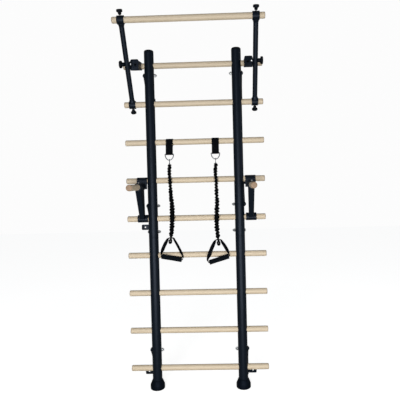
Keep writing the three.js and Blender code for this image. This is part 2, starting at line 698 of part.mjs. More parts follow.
function makeDipUnits() {
  const height = rungHeight(4);
  const screwTip = DIP_HANDLE_RADIUS - DIP_SCREW_BITE;
  const headSeat = SLEEVE_RADIUS + FIT;
  const pilot = rod(DIP_SCREW_RADIUS + FIT, screwTip - FIT, SLEEVE_RADIUS, SMALL_SIDES);
  pilot.translate(0, -DIP_SCREW_FORWARD, 0);
  for (const [name, x] of Object.entries(DIP_X)) {
    const handle = alongY(dowel(DIP_HANDLE_RADIUS, -DIP_HANDLE_FORWARD, -HOOK_OUTER - 2 * FIT));
    const screw = join(
      rod(DIP_SCREW_RADIUS, screwTip, headSeat + OVERRUN, SMALL_SIDES),
      rod(DIP_SCREW_HEAD_RADIUS, headSeat, headSeat + DIP_SCREW_HEAD, SMALL_SIDES),
    );
    add(`dip_bracket_${name}`, dipBracket().translate(x, 0, height), coating);
    add(`dip_handle_${name}`, cut(handle, pilot).translate(x, 0, height - SLEEVE_DROP), beech);
    add(`dip_screw_${name}`, screw.translate(x, -DIP_SCREW_FORWARD, height - SLEEVE_DROP), zinc);
  }
}

// Band strap: webbing round rung 3 with a folded tail that holds the ring
function bandStrap() {
  const bore = RUNG_RADIUS + FIT;
  const half = WEBBING_WIDTH / 2;
  const eyeBore = RING_WIRE + TURN_FIT;
  const eyeRadius = eyeBore + EYE_WALL;
  const start = new THREE.Vector2(-bore - TAIL_THICK / 2, 0);
  const end = new THREE.Vector2(-BAND_FORWARD, -EYE_DROP);
  const along = end.clone().sub(start).normalize();
  const across = new THREE.Vector2(-along.y, along.x).multiplyScalar(TAIL_THICK / 2);
  const tailOutline = new THREE.Shape([
    start.clone().add(across), start.clone().sub(across), end.clone().sub(across), end.clone().add(across),
  ]);
  const loop = alongX(rod(bore + WEBBING_THICK, -half, half, LARGE_SIDES));
  const eye = alongX(rod(eyeRadius, -half, half, SMALL_SIDES)).translate(0, -BAND_FORWARD, -EYE_DROP);
  const tail = sideSlab(tailOutline, WEBBING_WIDTH).translate(-half, 0, 0);
  const rungBore = alongX(rod(bore, -half - OVERRUN, half + OVERRUN, LARGE_SIDES));
  const wireBore = alongX(rod(eyeBore, -half - OVERRUN, half + OVERRUN, SMALL_SIDES));
  return cut(join(loop, eye, tail), rungBore, wireBore.translate(0, -BAND_FORWARD, -EYE_DROP));
}

// D ring, its bar on the origin and a little wider than the webbing
const RING_HALF_WIDTH = WEBBING_WIDTH / 2 + RING_SIDE;

function ringShape() {
  const bar = RING_HALF_WIDTH - RING_CORNER;
  const slope = RING_CORNER * (1 - Math.SQRT1_2);
  const points = [[-bar, 0], [bar, 0], [RING_HALF_WIDTH - slope, -slope]];
  for (let step = 0; step <= RING_STEPS; step += 1) {
    const angle = (Math.PI * step) / RING_STEPS;
    const depth = RING_CORNER + (RING_DROP - RING_CORNER) * Math.sin(angle);
    points.push([RING_HALF_WIDTH * Math.cos(angle), -depth]);
  }
  points.push([slope - RING_HALF_WIDTH, -slope]);
  const path = points.map(([across, up]) => new THREE.Vector3(across, 0, up));
  return sweep(path, () => Y_AXIS, () => circleSection(RING_WIRE, SMALL_SIDES), true);
}

// Oval link, hung on the ring's lowest wire at the origin, with the ferrule that holds the cord
const LINK_TOP = RING_WIRE + LINK_WIRE + TURN_FIT;
const LINK_BOTTOM = LINK_TOP - LINK_LENGTH;
const FERRULE_END = LINK_BOTTOM - FERRULE_LENGTH;

function linkShape() {
  const points = [];
  for (const [centre, start] of [[LINK_TOP - LINK_HALF_WIDTH, 0], [LINK_BOTTOM + LINK_HALF_WIDTH, Math.PI]]) {
    for (let step = 0; step <= LINK_STEPS; step += 1) {
      const angle = start + (Math.PI * step) / LINK_STEPS;
      const back = LINK_HALF_WIDTH * Math.cos(angle);
      points.push(new THREE.Vector3(0, back, centre + LINK_HALF_WIDTH * Math.sin(angle)));
    }
  }
  const link = sweep(points, () => X_AXIS, () => circleSection(LINK_WIRE, SMALL_SIDES), true);
  return join(link, rod(FERRULE_RADIUS, FERRULE_END, LINK_BOTTOM, SMALL_SIDES));
}

// Elastic band: gathered under the ferrule, fuller below, drawn in at the hand loop and ending in a knot
// BAND_GIRTH is share of the length and radius, KNOT_GIRTH drop below the end and radius
const BAND_GIRTH = [
  [0, 8], [0.02, 10], [0.07, 10.2], [0.14, 9], [0.3, 9.3], [0.47, 11.5], [0.55, 12.8], [0.64, 14.3],
  [0.8, 13.5], [0.96, 11.8], [0.985, CORD_NECK_RADIUS], [1, CORD_NECK_RADIUS],
];
const KNOT_GIRTH = [
  [4, CORD_NECK_RADIUS], [12, 6.5], [18, 10.5], [25, 12.5], [32, 11], [38, CORD_NECK_RADIUS],
];
const KNOT_DROP = KNOT_GIRTH.at(-1)[0];

function girthAt(share) {
  const next = Math.max(1, BAND_GIRTH.findIndex(([end]) => end >= share));
  const [startShare, startGirth] = BAND_GIRTH[next - 1];
  const [endShare, endGirth] = BAND_GIRTH[next];
  return startGirth + ((endGirth - startGirth) * (share - startShare)) / (endShare - startShare);
}

function bandShape(band) {
  const guide = [new THREE.Vector3(0, 0, 0)];
  for (const [across, share] of band.sway) {
    guide.push(new THREE.Vector3(across, 0, -band.length * share));
  }
  const endX = band.knotX / 2;
  guide.push(new THREE.Vector3(endX, 0, -band.length));
  const curve = new THREE.CatmullRomCurve3(guide);
  const path = [];
  const girths = [];
  for (let step = 0; step <= BAND_STEPS; step += 1) {
    path.push(curve.getPointAt(step / BAND_STEPS));
    girths.push(girthAt(step / BAND_STEPS));
  }
  for (const [drop, girth] of KNOT_GIRTH) {
    path.push(new THREE.Vector3(endX + (band.knotX - endX) * (drop / KNOT_DROP), 0, -band.length - drop));
    girths.push(girth);
  }
  return sweep(path, () => X_AXIS, (index) => circleSection(girths[index], BAND_SIDES), false);
}

// Hand loop: a webbing ribbon that runs through the grip and up over the cord's end
// Both sides are listed from the grip upwards: the share of the full twist, of the ribbon's width and of
// its thickness, which is doubled and stitched over the top
const STRAND_SHARES = [0.25, 0.5, 0.75];
const STRAND_TURNS = [0, 0, 0, 0.4, 1, 1, 1, 0.6, 0.2, 0];
const STRAND_WIDTHS = [RIBBON_GATHER, RIBBON_GATHER, 0.8, 0.9, 1, 1, 1, 1, 1, 1];
const STRAND_LAYERS = [1, 1, 1, 1, 1, 1, 1, 1.6, 2.2, 2.2];

function ribbonShape(loop) {
  const half = GRIP_LENGTH / 2;
  const stand = half + RIBBON_STAND;
  const lean = new THREE.Matrix4().makeRotationY(loop.tilt);
  const sag = RIBBON_BEND * (1 - Math.SQRT1_2);
  const bend = [
    [half - RIBBON_STAND, 0], [stand - sag, sag], [stand, RIBBON_BEND], [stand, GRIP_RADIUS + RIBBON_STAND],
  ];
  const low = bend.map(([across, up]) => new THREE.Vector3(across, 0, up));
  const right = low.map((point) => point.clone().applyMatrix4(lean));
  const left = low.map((point) => new THREE.Vector3(-point.x, 0, point.z).applyMatrix4(lean));
  const topHalf = RIBBON_TOP / 2;
  const turn = RIBBON_CORNER * (1 - Math.SQRT1_2);
  const corner = [[topHalf, -RIBBON_CORNER], [topHalf - turn, -turn], [topHalf - RIBBON_CORNER, 0]];
  const topRight = corner.map(([across, up]) => new THREE.Vector3(loop.topX + across, 0, loop.topZ + up));
  const topLeft = corner.map(([across, up]) => new THREE.Vector3(loop.topX - across, 0, loop.topZ + up));
  const strand = (foot, head, outward) => STRAND_SHARES.map((share) => {
    const point = foot.clone().lerp(head, share);
    point.x += 4 * share * (1 - share) * outward;
    return point;
  });
  const rise = strand(right.at(-1), topRight[0], STRAND_BULGE);
  const climb = strand(left.at(-1), topLeft[0], -STRAND_BULGE);
  const rightSide = [...right, ...rise, ...topRight];
  const leftSide = [...left, ...climb, ...topLeft];
  const path = [...rightSide, ...leftSide.reverse()];
  const fromGrip = (index) => (index < rightSide.length ? index : path.length - 1 - index);
  const sideAt = (index) => {
    const fullTwist = index < rightSide.length ? loop.twists.right : loop.twists.left;
    const twist = fullTwist * STRAND_TURNS[fromGrip(index)];
    return new THREE.Vector3(Math.sin(twist), Math.cos(twist), 0);
  };
  const sectionAt = (index) => {
    const edge = (RIBBON_WIDTH / 2) * STRAND_WIDTHS[fromGrip(index)];
    const face = (RIBBON_THICK / 2) * STRAND_LAYERS[fromGrip(index)];
    return [[edge, face], [-edge, face], [-edge, -face], [edge, -face]];
  };
  const ribbon = sweep(path, sideAt, sectionAt, true);
  const reach = RIBBON_THICK + OVERRUN;
  const cordHole = rod(CORD_NECK_RADIUS + CORD_FIT, loop.topZ - reach, loop.topZ + reach, SMALL_SIDES);
  return cut(ribbon, cordHole.translate(loop.topX, 0, 0));
}

function gripShape() {
  const half = GRIP_LENGTH / 2;
  const bore = (RIBBON_GATHER * RIBBON_WIDTH) / 2 + RIBBON_FIT;
  const profile = [
    [bore, -half], [GRIP_RADIUS - GRIP_EDGE, -half], [GRIP_RADIUS, -half + GRIP_EDGE],
    [GRIP_RADIUS, half - GRIP_EDGE], [GRIP_RADIUS - GRIP_EDGE, half], [bore, half], [bore, -half],
  ];
  return alongX(turned(profile, MEDIUM_SIDES));
}

function makeBands() {
  const eyeHeight = rungHeight(3) - EYE_DROP;
  const wireHeight = eyeHeight - RING_DROP;
  const cordTop = wireHeight + FERRULE_END - FIT;
  for (const [name, band] of Object.entries(BANDS)) {
    const cordEnd = cordTop - band.length;
    const gripHeight = cordEnd - band.gripDrop;
    const tilt = THREE.MathUtils.degToRad(band.gripTilt);
    const topX = band.strapX + band.knotX / 2 - band.gripX;
    const loop = { tilt, topX, topZ: band.gripDrop, twists: band.twists };
    add(`strap_${name}`, bandStrap().translate(band.strapX, 0, rungHeight(3)), webbing);
    add(`ring_${name}`, ringShape().translate(band.strapX, -BAND_FORWARD, eyeHeight), zinc);
    add(`link_${name}`, linkShape().translate(band.strapX, -BAND_FORWARD, wireHeight), zinc);
    add(`band_${name}`, bandShape(band).translate(band.strapX, -BAND_FORWARD, cordTop), webbing);
    add(`hand_strap_${name}`, ribbonShape(loop).translate(band.gripX, -BAND_FORWARD, gripHeight), webbing);
    add(`grip_${name}`, gripShape().rotateY(tilt).translate(band.gripX, -BAND_FORWARD, gripHeight), foam);
  }
}

makeRungs();
makeUprights();
makeCapsAndFeet();
makeWallFixings();
makePullUpFrame();
makeDipUnits();
makeBands();

export default group;
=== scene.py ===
import math

import bmesh
import bpy
from mathutils import Matrix, Vector, noise


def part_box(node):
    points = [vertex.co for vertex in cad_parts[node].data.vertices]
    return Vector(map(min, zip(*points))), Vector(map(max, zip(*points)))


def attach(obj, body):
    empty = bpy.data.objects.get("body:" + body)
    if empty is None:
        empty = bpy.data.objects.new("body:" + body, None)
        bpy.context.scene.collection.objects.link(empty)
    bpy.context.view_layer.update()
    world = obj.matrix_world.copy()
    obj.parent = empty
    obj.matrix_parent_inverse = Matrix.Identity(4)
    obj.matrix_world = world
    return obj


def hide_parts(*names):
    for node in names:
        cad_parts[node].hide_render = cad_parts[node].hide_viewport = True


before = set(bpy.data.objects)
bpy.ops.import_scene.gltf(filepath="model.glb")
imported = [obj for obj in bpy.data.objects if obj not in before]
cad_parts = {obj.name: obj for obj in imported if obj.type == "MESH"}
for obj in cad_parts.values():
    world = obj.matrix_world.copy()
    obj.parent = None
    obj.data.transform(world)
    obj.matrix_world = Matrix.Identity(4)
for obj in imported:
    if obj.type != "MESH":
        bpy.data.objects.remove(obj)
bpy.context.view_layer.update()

# Camera
CAMERA_PLACE = (0.208, -2.870, 1.354)
CAMERA_PAN = -1.38
CAMERA_TILT = 1.26
CAMERA_ROLL = -1.41
CAMERA_LENS = 38.73
CAMERA_SENSOR = 36.0
CAMERA_SHIFT = (-0.04335, -0.0245)

# Light: each lamp's name, place, target, size, watts and tint
BACKDROP_STRENGTH = 0.975
FILL_STRENGTH = 0.18
FLOOR_REACH = 9.0
LIT_MIDDLE = (0.0, -0.1, 1.2)
LAMPS = (
    ("key_softbox", (0.2, -2.95, 0.45), (0.0, 0.0, 0.35), (3.0, 1.6), 92.0, "#FFFDF9"),
    ("left_strip", (-0.7, -3.1, 1.5), LIT_MIDDLE, (0.6, 3.0), 24.0, "#F3F8FF"),
    ("right_strip", (2.8, -0.3, 1.6), LIT_MIDDLE, (0.7, 2.8), 8.0, "#F3F8FF"),
    ("top_softbox", (0.0, -0.8, 4.6), LIT_MIDDLE, (3.0, 3.0), 4.0, "#FFFFFF"),
)

# Fits and roundness
FIT = 0.0003
ROUND_SIDES = 64
MEDIUM_SIDES = 40
SMALL_SIDES = 24
ARC_STEPS = 24
CORNER_STEPS = 8
OVERRUN = 0.002
SHARP_ANGLE = 38
WIRE_SHARP_ANGLE = 60
NEVER_SHARP = 180
WELD_GAP = 1e-7

# Rungs and pull-up bar
RUNG_COUNT = 9
RUNG_RADIUS = 0.019
DOWEL_EDGE = 0.005

# Uprights, caps and feet
TUBE_RADIUS = 0.031
TUBE_WALL = 0.0025
TUBE_EDGE = 0.0008
CAP_RISE = 0.013
CAP_EDGE = 0.011
CAP_DEPTH = 0.018
FOOT_HEIGHT = 0.058
FOOT_COLLAR_WALL = 0.004
FOOT_FLANGE_RADIUS = 0.047
FOOT_FLANGE_HEIGHT = 0.029
FOOT_SOLE_RADIUS = 0.041
FOOT_FLOOR = 0.008
FOOT_EDGE = 0.006
FOOT_LIP = 0.0015

# Wall brackets and bolts
STRAP_THICK = 0.005
STRAP_WIDTH = 0.030
STRAP_EDGE = 0.0009
KNEE_DROP = 0.070
KNEE_SPREAD = 0.008
TAB_DROP = {"top": 0.150, "middle": 0.146, "bottom": 0.176}
TAB_HEIGHT = 0.036
TAB_LENGTH = 0.060
TAB_CORNER = 0.007
TAB_HOLE_RADIUS = 0.005
TAB_HOLE_REACH = 0.036
BOLT_RADIUS = 0.006
BOLT_HEAD_RADIUS = 0.0105
BOLT_HEAD_HEIGHT = 0.0066
BOLT_SOCKET_RADIUS = 0.0040
BOLT_SOCKET_DEPTH = 0.0025
NUT_RADIUS = 0.0109
NUT_HEIGHT = 0.0105
BOLT_TAIL = 0.006
THREAD_PITCH = 0.0015
THREAD_DEPTH = 0.0005
NUT_CHAMFER = 0.0012
NUT_SIDES = 48
KEY_SIDES = 6

# Pull-up frame
ARM_X = 0.397
ARM_RADIUS = 0.0155
COLLAR_LENGTH = 0.042
COLLAR_RADIUS = 0.0254
COLLAR_BORE = 0.0197
COLLAR_EDGE = 0.0015
NECK_RADIUS = 0.020
NECK_LENGTH = 0.014
SHEET = 0.004
SHEET_EDGE = 0.0008
WEB_FORWARD = 0.105
WEB_WIDTH = 0.050
WEB_TOP = 0.018
WEB_BOTTOM = 0.050
WEB_CORNER = 0.008
WEB_HOLE_RADIUS = 0.008
WEB_HOLE_INSET = 0.020
HOOP_RADIUS = 0.0253
EAR_RADIUS = 0.014
SIDE_SCREW_DROP = 0.020

# Clamp knobs
STEM_RADIUS = 0.004
STEM_SHOWN = 0.004
KNOB_RADIUS = 0.018
KNOB_HEAD = 0.016
KNOB_CONE = 0.014
KNOB_NECK_RADIUS = 0.008
KNOB_LOBES = 6
KNOB_DIP = 0.0026
KNOB_EDGE = 0.004
KNOB_SIDES = 96
SIDE_KNOB_RADIUS = 0.0235
SIDE_KNOB_HEAD = 0.016
SIDE_HUB_RADIUS = 0.0125
SIDE_HUB = 0.015
SIDE_STEM_TAIL = 0.009
SIDE_NUT_RADIUS = 0.0075
SIDE_NUT_HEIGHT = 0.0065

# Dip handles
HOOK_WIDTH = 0.067
HOOK_BORE = 0.0197
HOOK_SHEET = 0.003
HOOK_FRONT_DROP = 0.054
HOOK_BACK_DROP = 0.008
SLEEVE_RADIUS = 0.0243
SLEEVE_DROP = 0.039
SLEEVE_FORWARD = 0.172
DIP_HANDLE_RADIUS = 0.0185
CRADLE_WALL = 0.007
CRADLE_END = 235
LEG_FORWARD = 0.100
LEG_TOP = (0.036, 0.130)
LEG_FOOT_FORWARD = 0.032
LEG_FOOT = (0.032, 0.032)
LEG_CORNER = 0.007
DIP_SCREW_HEAD_RADIUS = 0.0065
DIP_SCREW_HEAD = 0.005

# Band straps, rings and links
WEBBING_WIDTH = 0.046
WEBBING_THICK = 0.0024
WEBBING_EDGE = 0.0007
TAIL_START = (-0.0218, 0.0)
TAIL_END = (-0.036, -0.079)
EYE_WRAP = 0.0052
LOOP_WRAP = 0.0207
RING_WIRE = 0.003
RING_HALF_WIDTH = 0.027
RING_DROP = 0.039
RING_CORNER = 0.0025
LINK_WIRE = 0.002
LINK_HALF_WIDTH = 0.0058
LINK_LENGTH = 0.026
FERRULE_RADIUS = 0.0045
FERRULE_LENGTH = 0.007

# Hand loops
GRIP_LENGTH = 0.132
GRIP_RADIUS = 0.0155
GRIP_BORE = 0.0109
GRIP_EDGE = 0.002
GRIP_RIB = 0.0006
GRIP_RIBS = 14
RIBBON_WIDTH = 0.025
RIBBON_GATHER = 0.75
RIBBON_THICK = 0.0025
RIBBON_STAND = 0.005
RIBBON_BEND = 0.007
RIBBON_TOP = 0.046
RIBBON_CORNER = 0.012
STRAND_BULGE = 0.0025

# Each band's route from its ferrule, as (sideways, share of the length down); seed sets how its folds fall
BANDS = {
    "left": {
        "sway": [(0, 0.03), (-0.003, 0.1), (0, 0.24), (0.003, 0.4), (0.008, 0.55), (0.008, 0.7),
                 (0.005, 0.84), (-0.001, 0.95)],
        "length": 0.475,
        "knot": -0.010,
        "tilt": 10.5,
        "twists": {"left": 1.0, "right": 0.5},
        "seed": 3.0,
    },
    "right": {
        "sway": [(0, 0.03), (-0.003, 0.1), (0, 0.24), (0.001, 0.4), (0.003, 0.52), (-0.001, 0.66),
                 (-0.002, 0.82), (0.002, 0.95)],
        "length": 0.493,
        "knot": 0.008,
        "tilt": -16.5,
        "twists": {"left": 1.3, "right": 0.9},
        "seed": 11.0,
    },
}
KNOT_DROP = 0.038

SIDES = {"left": -1, "right": 1}
LEVELS = ("top", "middle", "bottom")


# Places taken from the frame
def centre(node):
    low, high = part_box(node)
    return (Vector(low) + Vector(high)) / 2


RUNG_Y = centre("rung_1").y
RUNG_Z = {number: centre(f"rung_{number}").z for number in range(1, RUNG_COUNT + 1)}
RUNG_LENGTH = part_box("rung_1")[1][0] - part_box("rung_1")[0][0]
UPRIGHT_X = centre("upright_right_upper").x
UPRIGHT_Y = centre("upright_right_upper").y
BAR = centre("pull_up_bar")


# Materials
def colour(text):
    """A hex sRGB colour as linear values."""
    shares = [int(text[start:start + 2], 16) / 255 for start in (1, 3, 5)]
    linear = [s / 12.92 if s <= 0.04045 else ((s + 0.055) / 1.055) ** 2.4 for s in shares]
    return (*linear, 1.0)


def add(material, kind, settings=None, links=None):
    """Adds one node, with its settings and what its sockets are linked to."""
    tree = material.node_tree
    made = tree.nodes.new(kind)
    for key, value in (settings or {}).items():
        if isinstance(key, int) or key in made.inputs:
            made.inputs[key].default_value = value
        else:
            setattr(made, key, value)
    for key, source in (links or {}).items():
        tree.links.new(source, made.inputs[key])
    return made


def blank(name):
    material = bpy.data.materials.new(name)
    material.use_nodes = True
    material.node_tree.nodes.clear()
    return material


def place_on(material):
    return add(material, "ShaderNodeTexCoord").outputs["Object"]


def speckle(material, place, size, detail):
    """Soft spots of about one size."""
    settings = {"Scale": 1 / size, "Detail": detail}
    return add(material, "ShaderNodeTexNoise", settings, {"Vector": place}).outputs["Fac"]


def spread(material, value, low, high, start=0.0, end=1.0):
    """A pattern's values from start to end, spread from low to high."""
    settings = {"From Min": start, "From Max": end, "To Min": low, "To Max": high}
    return add(material, "ShaderNodeMapRange", settings, {"Value": value}).outputs["Result"]


def blend(material, share, under, over):
    """Two tones mixed by a share; a tone is a hex colour or what another node gives."""
    settings = {"data_type": "RGBA"}
    links = {0: share}
    for socket, tone in ((6, under), (7, over)):
        if isinstance(tone, str):
            settings[socket] = colour(tone)
        else:
            links[socket] = tone
    return add(material, "ShaderNodeMix", settings, links).outputs[2]


def relief(material, height, strength, depth):
    settings = {"Strength": strength, "Distance": depth}
    return add(material, "ShaderNodeBump", settings, {"Height": height}).outputs["Normal"]


def waves(material, place, direction, width, settings):
    """Soft lines across a direction, one to each width."""
    settings = {"bands_direction": direction, "Scale": math.pi / (10 * width), **settings}
    return add(material, "ShaderNodeTexWave", settings, {"Vector": place}).outputs["Fac"]


def surfaced(material, settings, links):
    """The finished material: its surface, and the output that shows it."""
    shader = add(material, "ShaderNodeBsdfPrincipled", settings, links)
    add(material, "ShaderNodeOutputMaterial", {}, {"Surface": shader.outputs["BSDF"]})
    return material


def powder_coated_steel():
    # Steel under a baked polyester powder: blue-black, even, with fine orange peel and a soft sheen.
    # The peel, about 1 mm on the real tube, is drawn at 2.5 mm so that it shows.
    peel_size = 0.0025
    peel_depth = 0.0004
    drift_size = 0.15
    material = blank("powder_coated_steel")
    place = place_on(material)
    peel = speckle(material, place, peel_size, 2.0)
    drift = speckle(material, place, drift_size, 3.0)
    return surfaced(
        material, {"IOR": 1.30, "Specular Tint": colour("#CAD7F0")},
        {"Base Color": blend(material, drift, "#0A1119", "#0E151E"),
         "Roughness": spread(material, peel, 0.36, 0.44),
         "Normal": relief(material, peel, 0.08, peel_depth)},
    )


def zinc_plated(name, dark, light, roughness):
    # Turned or bent steel with bright zinc: silvery, slightly cloudy where the plating crystals differ.
    spangle_size = 0.003
    material = blank(name)
    cloud = speckle(material, place_on(material), spangle_size, 4.0)
    return surfaced(
        material, {"Metallic": 1.0},
        {"Base Color": blend(material, cloud, dark, light), "Roughness": spread(material, cloud, *roughness)},
    )


def beech(name, lengthwise):
    # Turned and sanded beech: pale and even, faint growth rings, long soft streaks and short dark flecks;
    # the sawn ends soak up more lacquer and are browner, and the same brown reaches over the rounded rims as painted
    # shade, a dark outline at each end.
    # The flecks, about 2 by 0.4 mm in real beech, are drawn 14 by 1.6 mm so that they show.
    streak_length = 0.26
    streak_width = 0.007
    fleck_length = 0.014
    fleck_width = 0.0016
    fleck_depth = 0.0003
    ring_width = 0.0055
    ring_stretch = 0.04
    material = blank(name)
    place = place_on(material)

    def stretched(along, across):
        scale = [across, across, across]
        scale[lengthwise] = along
        return add(material, "ShaderNodeMapping", {"Scale": scale}, {"Vector": place}).outputs["Vector"]

    streaks = speckle(material, stretched(1 / streak_length, 1 / streak_width), 1.0, 4.0)
    flecks = speckle(material, stretched(1 / fleck_length, 1 / fleck_width), 1.0, 1.0)
    rings = waves(
        material, stretched(ring_stretch, 1.0), "Z", ring_width,
        {"Distortion": 3.0, "Detail": 2.0, "Detail Scale": 0.4},
    )
    normal = add(material, "ShaderNodeTexCoord").outputs["Normal"]
    facing = add(material, "ShaderNodeSeparateXYZ", {}, {"Vector": normal}).outputs[lengthwise]
    endwise = add(material, "ShaderNodeMath", {"operation": "ABSOLUTE"}, {0: facing}).outputs["Value"]
    streaked = blend(material, streaks, "#D0BEA1", "#E5D6BF")
    ringed = blend(material, spread(material, rings, 0.0, 0.22), streaked, "#B5A081")
    flecked = blend(material, spread(material, flecks, 0.0, 0.35, 0.60, 0.72), ringed, "#94795A")
    # Browner where the surface faces along the rod: real end grain on the ends, painted shade on the rounded rims
    end_grain_and_rim_shade = blend(material, spread(material, endwise, 0.0, 0.9, 0.2, 0.7), flecked, "#86684E")
    return surfaced(
        material, {"IOR": 1.5},
        {"Base Color": end_grain_and_rim_shade, "Roughness": spread(material, streaks, 0.42, 0.60),
         "Normal": relief(material, flecks, 0.15, fleck_depth)},
    )


def moulded(name, dark, light, roughness, grain_size, depth):
    # Moulded black parts: a fine spark-eroded grain from the mould breaks up the shine.
    material = blank(name)
    grain = speckle(material, place_on(material), grain_size, 3.0)
    return surfaced(
        material, {"IOR": 1.22, "Specular Tint": colour("#B4C8F0")},
        {"Base Color": blend(material, grain, dark, light), "Roughness": spread(material, grain, *roughness),
         "Normal": relief(material, grain, 0.35, depth)},
    )


def woven(name, dark, light, thread, slant):
    # Woven polyester yarn: rows of rounded threads over and under each other, dull with a faint fuzz.
    thread_depth = 0.0006
    material = blank(name)
    lay = add(material, "ShaderNodeUVMap", {"uv_map": "lay"}).outputs["UV"]
    rows = []
    for turn in (slant, -slant):
        rotation = {"Rotation": (0.0, 0.0, math.radians(turn))}
        turned_lay = add(material, "ShaderNodeMapping", rotation, {"Vector": lay}).outputs["Vector"]
        rows.append(waves(material, turned_lay, "X", thread, {"Distortion": 0.6, "Detail": 1.0}))
    higher = add(material, "ShaderNodeMath", {"operation": "MAXIMUM"}, {0: rows[0], 1: rows[1]})
    height = higher.outputs["Value"]
    # The colour follows the threads' height: darker in the hollows between threads as painted shade, lighter on their
    # crowns
    return surfaced(
        material, {"IOR": 1.10, "Sheen Weight": 0.005, "Sheen Roughness": 0.5},
        {"Base Color": blend(material, height, dark, light), "Roughness": spread(material, height, 0.95, 0.75),
         "Normal": relief(material, height, 0.6, thread_depth)},
    )


def studio_paper():
    # Matt seamless paper: pale and even, with a barely visible fibre.
    fibre_size = 1 / 90
    material = blank("studio_paper")
    place = place_on(material)
    fibre = speckle(material, place, fibre_size, 4.0)
    distance = add(material, "ShaderNodeVectorMath", {"operation": "LENGTH"}, {0: place}).outputs["Value"]
    return surfaced(
        material, {"Roughness": 0.95, "Emission Color": colour("#FFFFFF")},
        {"Base Color": blend(material, fibre, "#F4F3F1", "#FAFAF9"),
         "Emission Strength": spread(material, distance, 0.74, 0.80, 0.5, 3.0)},
    )


FINISHES = {
    "steel": (powder_coated_steel(), "powder_coated_steel"),
    "zinc": (zinc_plated("zinc_plated_steel", "#B9BDC1", "#D9DBDC", (0.32, 0.50)), "zinc_plated_steel"),
    "wire": (zinc_plated("zinc_plated_wire", "#63676B", "#85898D", (0.22, 0.36)), "zinc_plated_steel"),
    "beech": (beech("beech_rung", 0), "beech"),
    "beech_handle": (beech("beech_handle", 1), "beech"),
    "rubber": (moulded("moulded_rubber", "#04080E", "#080E16", (0.50, 0.60), 0.0015, 0.0003), "rubber"),
    "plastic": (moulded("moulded_nylon", "#07090B", "#0E1114", (0.42, 0.58), 0.0012, 0.0002), "plastic"),
    "foam": (moulded("closed_cell_foam", "#06080B", "#0F1419", (0.85, 0.98), 0.0022, 0.0006), "foam"),
    "webbing": (woven("woven_webbing", "#030406", "#0B0E13", 0.0032, 45.0), "webbing"),
    "sleeve": (woven("gathered_elastic_sleeve", "#020304", "#090B0E", 0.0026, 35.0), "webbing"),
    "thread": (moulded("polyester_thread", "#171B21", "#252B33", (0.70, 0.90), 0.0008, 0.0002), "webbing"),
}


# Mesh making
def to_mesh(shape, name, weld=True):
    if weld:
        bmesh.ops.remove_doubles(shape, verts=shape.verts, dist=WELD_GAP)
    bmesh.ops.recalc_face_normals(shape, faces=shape.faces)
    mesh = bpy.data.meshes.new(name)
    shape.to_mesh(mesh)
    shape.free()
    return mesh


def arc(centre_point, radius, start, end, steps=ARC_STEPS):
    """Points of an arc, its angles in degrees."""
    points = []
    for step in range(steps + 1):
        angle = math.radians(start + (end - start) * step / steps)
        across = centre_point[0] + radius * math.cos(angle)
        points.append((across, centre_point[1] + radius * math.sin(angle)))
    return points


def ring_mesh(rings, closed=False, lay=False):
    """A skin over rings of points; lay stores how far each corner is around and along, in metres."""
    shape = bmesh.new()
    count = len(rings[0])
    corners = [[shape.verts.new(point) for point in ring] for ring in rings]
    layer = shape.loops.layers.uv.new("lay") if lay else None
    along = [0.0]
    for before, after in zip(rings, rings[1:] + rings[:1]):
        along.append(along[-1] + (Vector(after[0]) - Vector(before[0])).length)
    around = [0.0]
    middle = rings[len(rings) // 2]
    for before, after in zip(middle, middle[1:] + middle[:1]):
        around.append(around[-1] + (Vector(after) - Vector(before)).length)
    for step in range(len(rings) if closed else len(rings) - 1):
        here = corners[step]
        there = corners[(step + 1) % len(rings)]
        for side in range(count):
            turn = (side + 1) % count
            face = shape.faces.new((here[side], here[turn], there[turn], there[side]))
            if lay:
                spots = [(side, step), (side + 1, step), (side + 1, step + 1), (side, step + 1)]
                for loop, (a, b) in zip(face.loops, spots):
                    loop[layer].uv = (around[a], along[b])
    if not closed:
        shape.faces.new(list(reversed(corners[0])))
        shape.faces.new(corners[-1])
    return to_mesh(shape, "skin", weld=not lay)


AXES = {
    "X": Matrix.Rotation(math.pi / 2, 4, "Y"),
    "Y": Matrix.Rotation(-math.pi / 2, 4, "X"),
    "Z": Matrix.Identity(4),
}


def turned(profile, axis="Z", place=(0, 0, 0), sides=ROUND_SIDES, outline=None):
    """A turned piece: (radius, along) pairs round an axis; outline may change the radius by angle."""
    frame_of_axis = Matrix.Translation(Vector(place)) @ AXES[axis]
    rings = []
    for radius, along in profile:
        ring = []
        for side in range(sides):
            angle = 2 * math.pi * side / sides
            reach = outline(radius, along, angle) if outline else radius
            ring.append(frame_of_axis @ Vector((reach * math.cos(angle), reach * math.sin(angle), along)))
        rings.append(ring)
    closed = profile[0] == profile[-1]
    return ring_mesh(rings[:-1] if closed else rings, closed)


def rounded(radius, start, end, edge, steps=6):
    """A solid rod's profile with its two rims rounded."""
    lower = arc((radius - edge, start + edge), edge, -90, 0, steps)
    upper = arc((radius - edge, end - edge), edge, 0, 90, steps)
    return [(0, start), *lower, *upper, (0, end)]


def rod(radius, start, end):
    """A plain rod's profile, for a shank or a hole."""
    return [(0, start), (radius, start), (radius, end), (0, end)]


def pipe_profile(outer, inner, start, end, edge):
    return [
        (inner, start + edge), (inner + edge, start), (outer - edge, start), (outer, start + edge),
        (outer, end - edge), (outer - edge, end), (inner + edge, end), (inner, end - edge),
        (inner, start + edge),
    ]


